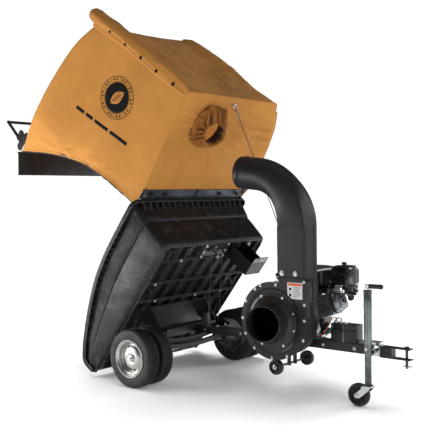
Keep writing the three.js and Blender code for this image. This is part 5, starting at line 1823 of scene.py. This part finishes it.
# ---------------------------------------------------------------- battery and leads
levels = [(331.4, 1.5), (333, 0), (404, 0), (405, 1.6), (408, 1.6), (409, 0), (434, 0), (436, 1.6)]
case = soft_box(Shape(), 1100, 1272, -37, 37, levels, 4, 4)
for k in range(6):
    case.box(1116 + 24 * k, 1132 + 24 * k, -38.2, -36.6, 338, 398)
case.box(1092, 1282, -42, 42, 325.4, 331.2)
case.box(1092, 1096, -42, 42, 331, 346)
case.box(1278, 1282, -42, 42, 331, 346)
make("battery_shell", case, "chassis", BATTERY, bevel=0.8, replaces=("battery",))
posts = Shape()
for x in (1130, 1160):
    posts.stack((x, -16, 435), (0, 0, 1), [(0, 9), (4, 9), (4.4, 8), (12, 7.6), (13, 6)], 20)
    posts.stack((x, -16, 447), (0, 0, 1), [(0, 9), (2, 9), (3, 5), (5, 5)], 12)
hold = [(1186, -40, 334), (1186, -40, 430), (1186, -34, 438.5), (1186, 34, 438.5), (1186, 40, 430),
        (1186, 40, 334)]
posts.tube(hold, 3, 8)
make("battery_posts", posts, "chassis", ZINC)


def lead_route(post, lane, landing):
    """A battery lead's way from its post down beside the tongue to the crankcase."""
    return [(post, -16, 449), (post, -16, 462), (post - 8, -30 - lane, 470),
            (post - 16, -52 - lane, 455), (post - 36, -64 - lane, 408), (post - 74, -62 - lane, 362),
            (1020, -56 - lane, 352 - lane), (975, -46 - lane, 366 - lane), (938, -34, landing)]


for label, post, lane, landing, look in (("red", 1130, 0, 404, RED), ("green", 1160, 10, 386, GREEN)):
    path = spline(lead_route(post, lane, landing), 90)
    wire = make(f"lead_{label}", Shape().tube(path, 3.2, 12), "chassis", look,
                replaces=(f"battery_lead_{label}",), smooth=80)

# ---------------------------------------------------------------- hitch and jack
dress("hitch_pin", POWDER, 1.0)
bends = ((1538, -12), (1552, -12), (1578, -11), (1592, -8), (1599, 0), (1592, 8), (1578, 11),
         (1552, 11), (1538, 9))
clip = spline([(x, y, 234) for x, y in bends], 54)
make("hitch_clip", Shape().tube(clip, 1.9, 8), "pin_clip", ZINC, replaces=("pin_clip",))


def on_jack(radius, z, sides):
    """A ring round the jack's upright axis."""
    return [(1385 + radius * math.cos(t), -110 + radius * math.sin(t), z) for t in angles(sides)]


levels = [(300, 19.6), (300, 22.3), (302, 22.6), (560, 22.6), (561, 23.6), (572, 23.6), (573, 22.6),
          (640, 22.6), (641, 24), (652, 24), (656, 21), (656, 6)]
jack = Shape().rings([on_jack(r, z, 64) for z, r in levels], caps=False)
jack.stack((1385, -89.5, 318), (0, 1, 0), [(0, 26), (8.6, 26), (10.5, 24)], 48)
jack.box(1376, 1394, -132.8, -130, 306, 640)
make("jack_tube", jack, "jack", ZINC_GREEN, smooth=34, replaces=("jack_outer_tube",))
levels = [(124, 12), (122, 25), (129, 25), (130, 20), (136, 19), (445, 19), (446, 12)]
leg = Shape().rings([on_jack(r, z, 56) for z, r in levels])
make("jack_leg_tube", leg, "jack_leg", ZINC_GREEN, smooth=34, replaces=("jack_inner_tube",))
jack_bits = Shape()
jack_bits.bolt((1385, -133, 330), (0, -1, 0), 7)
jack_bits.stack((1385, -79, 318), (0, 1, 0), [(0, 30), (3, 30)], 40)
jack_bits.tube([(1398, -88, 318), (1412, -90, 332), (1420, -96, 352), (1420, -104, 366)], 4, 10)
make("jack_fittings", jack_bits, "jack", ZINC)
crank = Shape()
crank.stack((1385, -110, 656.3), (0, 0, 1), [(0, 9), (8, 9), (9, 7.5), (28, 7.5)], 28)
crank.prism([(1371, 666), (1397, 667), (1397, 685), (1371, 687)], -118.5, -101.5)
make("jack_crank_head", crank, "jack_crank", ZINC, bevel=1.5)
grip_line = [(0, 11), (2, 13.2), (6, 13.8), (12, 12.6), (22, 13.4), (32, 12.4), (42, 13.4),
             (52, 12.4), (62, 13.4), (70, 12.8), (76, 13.6), (80, 12.6), (83, 9)]
make("jack_grip", Shape().stack((1394, -110, 677), (1, 0, 0), grip_line, 40), "jack_crank", NOZZLE,
     smooth=50, replaces=("jack_crank",))


# ---------------------------------------------------------------- cover: metalwork
def rounded_path(points, radius, steps=6):
    """A path whose corners are turned on a radius."""
    points = [Vector(p) for p in points]
    path = [points[0]]
    for a, b, c in zip(points, points[1:], points[2:]):
        before, after = (a - b).normalized(), (c - b).normalized()
        reach = min(radius, (a - b).length / 2, (c - b).length / 2)
        start, end = b + before * reach, b + after * reach
        for k in range(steps + 1):
            t = k / steps
            path.append(start.lerp(b, t).lerp(b.lerp(end, t), t))
    path.append(points[-1])
    return path


RAIL, TAIL = 486, 474  # half widths of the pipework, at the front and at the tail
half_loop = [(-50, RAIL, 6), (-560, RAIL, -66), (-890, TAIL + 8, -170), (-1160, TAIL, -306),
             (-1186, TAIL - 24, -318)]
loop = [(x, -y, z) for x, y, z in half_loop] + half_loop[::-1]
pipes = Shape().tube(rounded_path(loop, 50), 11, 20)
for x0, x1, foot, z in ((-50, -72, RAIL, 6), (-890, -890, TAIL + 8, -170)):
    hoop = [(x0, -foot, z), (x1, -435, 700), (x1, 435, 700), (x0, foot, z)]
    pipes.tube(rounded_path(hoop, 60), 11, 20)
pipes.bar((-50, -RAIL, 6), (-50, RAIL, 6), 11, 20)
make("cover_hoops", pipes, "cover", POWDER, COVER, smooth=60, replaces=("cover_frame",))

bail_path = [(-1246, -492, -292), (-1460, -492, -244), (-1500, -458, -266), (-1500, 458, -266),
             (-1460, 492, -244), (-1246, 492, -292)]
make("bail", Shape().tube(rounded_path(bail_path, 60, 9), 11, 24), "cover", POWDER, COVER, smooth=60,
     replaces=("bail_handle",))
plates = Shape()
plate_bolts = Shape()
for side in (-1, 1):
    y = side * 492
    outline = [(-1222, -352), (-1198, -214), (-1228, -206), (-1266, -262), (-1272, -340), (-1250, -356)]
    plates.prism(outline, y - 5, y + 5)
    plates.prism([(-1256, -300), (-1262, -224), (-1296, -222), (-1300, -296)], y - 9, y + 9)
    for x, z in ((-1230, -300), (-1226, -236), (-1256, -330), (-1278, -246)):
        plate_bolts.bolt((x, y + side * 5, z), (0, side, 0), 4.5)
make("bail_plates", plates, "cover", POWDER, COVER, bevel=1.2)
make("bail_bolts", plate_bolts, "cover", POWDER, COVER)

flap_sheet = Shape()
rows = []
for k in range(15):
    z = -2 - 163 * k / 14
    row = []
    for j in range(90):
        y = lerp(-505, 505, j / 89)
        swing = (k / 14) ** 1.3
        row.append((swing * (3.2 * math.sin(y / 62) + 4 * noise.noise(Vector((y, z, 7)) / 80)), y, z))
    rows.append(row)
flap_sheet.sheet(rows)
flap = make("flap_vinyl", flap_sheet, "flap", VINYL, FLAP, shell=2.2, smooth=70, closed=False,
            replaces=("rear_flap",))
make("flap_rod", Shape().bar((0, -507, -2), (0, 507, -2), 5, 16), "flap", POWDER, FLAP)
hem = Shape().tube([(x, y, -164) for x, y, _ in rows[-1][::3]], 3, 8)
make("flap_hem", hem, "flap", VINYL, FLAP)
sew = Shape()
sew.box(-3.2, -1.4, -500, 500, -152, -150.4)
make("flap_seam", sew, "flap", VINYL, FLAP)


def grooved_bar(y0, y1):
    """An extruded hinge bar: three grooves along its face and a rolled tail."""
    outline = [(8.5, 8), (8.5, 66), (12, 67), (15, 66), (15, 56), (12.6, 55), (12.6, 52), (15, 51),
               (15, 43), (12.6, 42), (12.6, 39), (15, 38), (15, 30), (12.6, 29), (12.6, 26),
               (15, 25), (15, 8), (13, 4), (8, 3), (-3, 5), (-6, 10), (-3, 17), (2, 17), (5, 12)]
    return Shape().prism(outline, y0, y1)


for label, y0, y1 in (("near", -478, -7), ("far", 7, 478)):
    make(f"hinge_extrusion_{label}", grooved_bar(y0, y1), "cover", BAR, COVER, bevel=0.6,
         replaces=(f"hinge_bar_{label}",))
knobs = Shape()
for y in (-430, -300, 236, 420):
    knobs.stack((15, y, 40), (1, 0, 0), [(0, 9), (6, 9), (8, 7), (18, 7), (20, 5)], 20)
    for t in angles(3):
        wing = Vector((0, math.cos(t + 0.5), math.sin(t + 0.5)))
        knobs.bar(Vector((26, y, 40)) + wing * 4, Vector((30, y, 40)) + wing * 20, 5, 10, 6)
make("wing_knobs", knobs, "cover", NOZZLE, COVER, smooth=50)
posts = Shape()
posts.box(4, 12, -478, 478, -1.5, 9)
posts.box(-3, 4, -474, 474, 56, 80)
posts.box(7, 20, -5, 5, 2, 72)
posts.stack((20, 0, 60), (1, 0, 0), [(0, 6), (6, 6)], 12)
for side in (-1, 1):
    y = side * 492
    posts.rings([[(-6, yy, 0), (18, yy, 0), (20, yy, 58), (12, yy, 82), (-6, yy, 82)]
                 for yy in (y - 4, y + 4)])
    posts.box(-4, 24, y - 14, y + 14, 2, 8)
    posts.bar((22, y - 12, 44), (22, y + 12, 44), 5, 12)
    posts.bar((22, y - 12, 62), (22, y + 12, 62), 4, 12)
make("hinge_posts", posts, "cover", POWDER, COVER, bevel=1.0)
tabs = Shape()
for side in (-1, 1):
    rows = [[(12 + 3 * math.sin(k), side * (478 + 3 * j), 16 + 8 * k) for j in range(4)]
            for k in range(7)]
    tabs.sheet(rows)
make("canvas_tabs", tabs, "cover", CANVAS, COVER, shell=2, closed=False)
knuckles = Shape()
for k in range(9):
    y = -452 + 113 * k
    knuckles.bar((734, y - 32, 483), (734, y + 32, 483), 7, 20)
    knuckles.box(712, 734, y - 32, y + 32, 478.5, 481.5)
make("hinge_knuckles", knuckles, "tub", POWDER, TUB, bevel=0.8)
hinge_bolts = Shape().bolts([(718, -452 + 113 * k, 481.5) for k in range(9)], (0, 0, 1), 5)
make("hinge_bolts", hinge_bolts, "tub", ZINC, TUB)

# ---------------------------------------------------------------- cables
CABLES = []


def cable(name, node, body, foot, top, top_shut, radius):
    """A wire between two bodies; the share of its length that it keeps with the tub down is worked out and
    stored.
    """
    foot, top, top_shut = Vector(foot), Vector(top), Vector(top_shut)
    steps = [foot.lerp(top, k / 24) for k in range(25)]
    piece = make(name, Shape().tube(steps, radius, 10), body, ROPE, Matrix.Identity(4), replaces=(node,),
                 smooth=80)
    move = top_shut - top
    axis = (-move).normalized()
    keep = 1 - move.length / (top - foot).dot(axis)
    CABLES.append((piece, steps, radius, axis, foot, keep))


HOOK = Vector((3, 0, 690))  # on the cover's front panel
HOOK_SHUT = Matrix.Translation(PIVOT) @ MM @ (HINGE + HOOK)  # with the tub down and the cover shut
CABLE_FOOT = MACHINE @ Vector((812, -84, 905))
cable("cable_cover", "cover_cable", "chassis", CABLE_FOOT, COVER @ HOOK, HOOK_SHUT, 0.0024)
for label, y, x, z in (("near", -50, 171, 392), ("far", 59, 165, 338)):
    foot = MACHINE @ Vector((x, y, z))
    top = TUB @ Vector((590, y, UNDERSIDE - 18))
    # seen from the tub, the foot moves; the wire rides the tub
    back = Matrix.Translation(PIVOT) @ Matrix.Rotation(-DUMP, 4, "Y") @ Matrix.Translation(-PIVOT)
    cable(f"cable_limit_{label}", f"limit_cable_{label}", "tub", top, foot, back @ foot, 0.0019)
eye = Shape()
hook = [(2, 0, 690), (10, 0, 694), (20, 0, 690), (26, 0, 678), (20, 0, 668), (12, 0, 670)]
eye.tube(spline(hook, 26), 3.4, 10)
eye.stack((0, 0, 690), (1, 0, 0), [(0, 13), (3, 13), (4, 8), (8, 7)], 24)
pull = (COVER.inverted() @ CABLE_FOOT - HOOK).normalized()
cross = pull.cross(Vector((0, 1, 0))).normalized()
for k in range(3):
    aside = cross if k % 2 else pull.cross(cross)
    link = [HOOK + pull * (22 + 14 * k + 9 * math.sin(t)) + aside * (5 * math.cos(t)) for t in angles(18)]
    eye.tube(link, 2.0, 7, closed=True)
eye.stack(HOOK + pull * 60, pull, [(0, 4), (5, 6.5), (36, 6.5), (41, 4), (54, 3)], 12)
make("cable_hook", eye, "cover", ZINC, COVER)


for piece, path, radius, axis, foot, keep in CABLES:
    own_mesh(piece)

for name in ("canvas_sleeve", "sleeve_painted_shade", "sleeve_elastic"):
    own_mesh(bpy.data.objects[name])
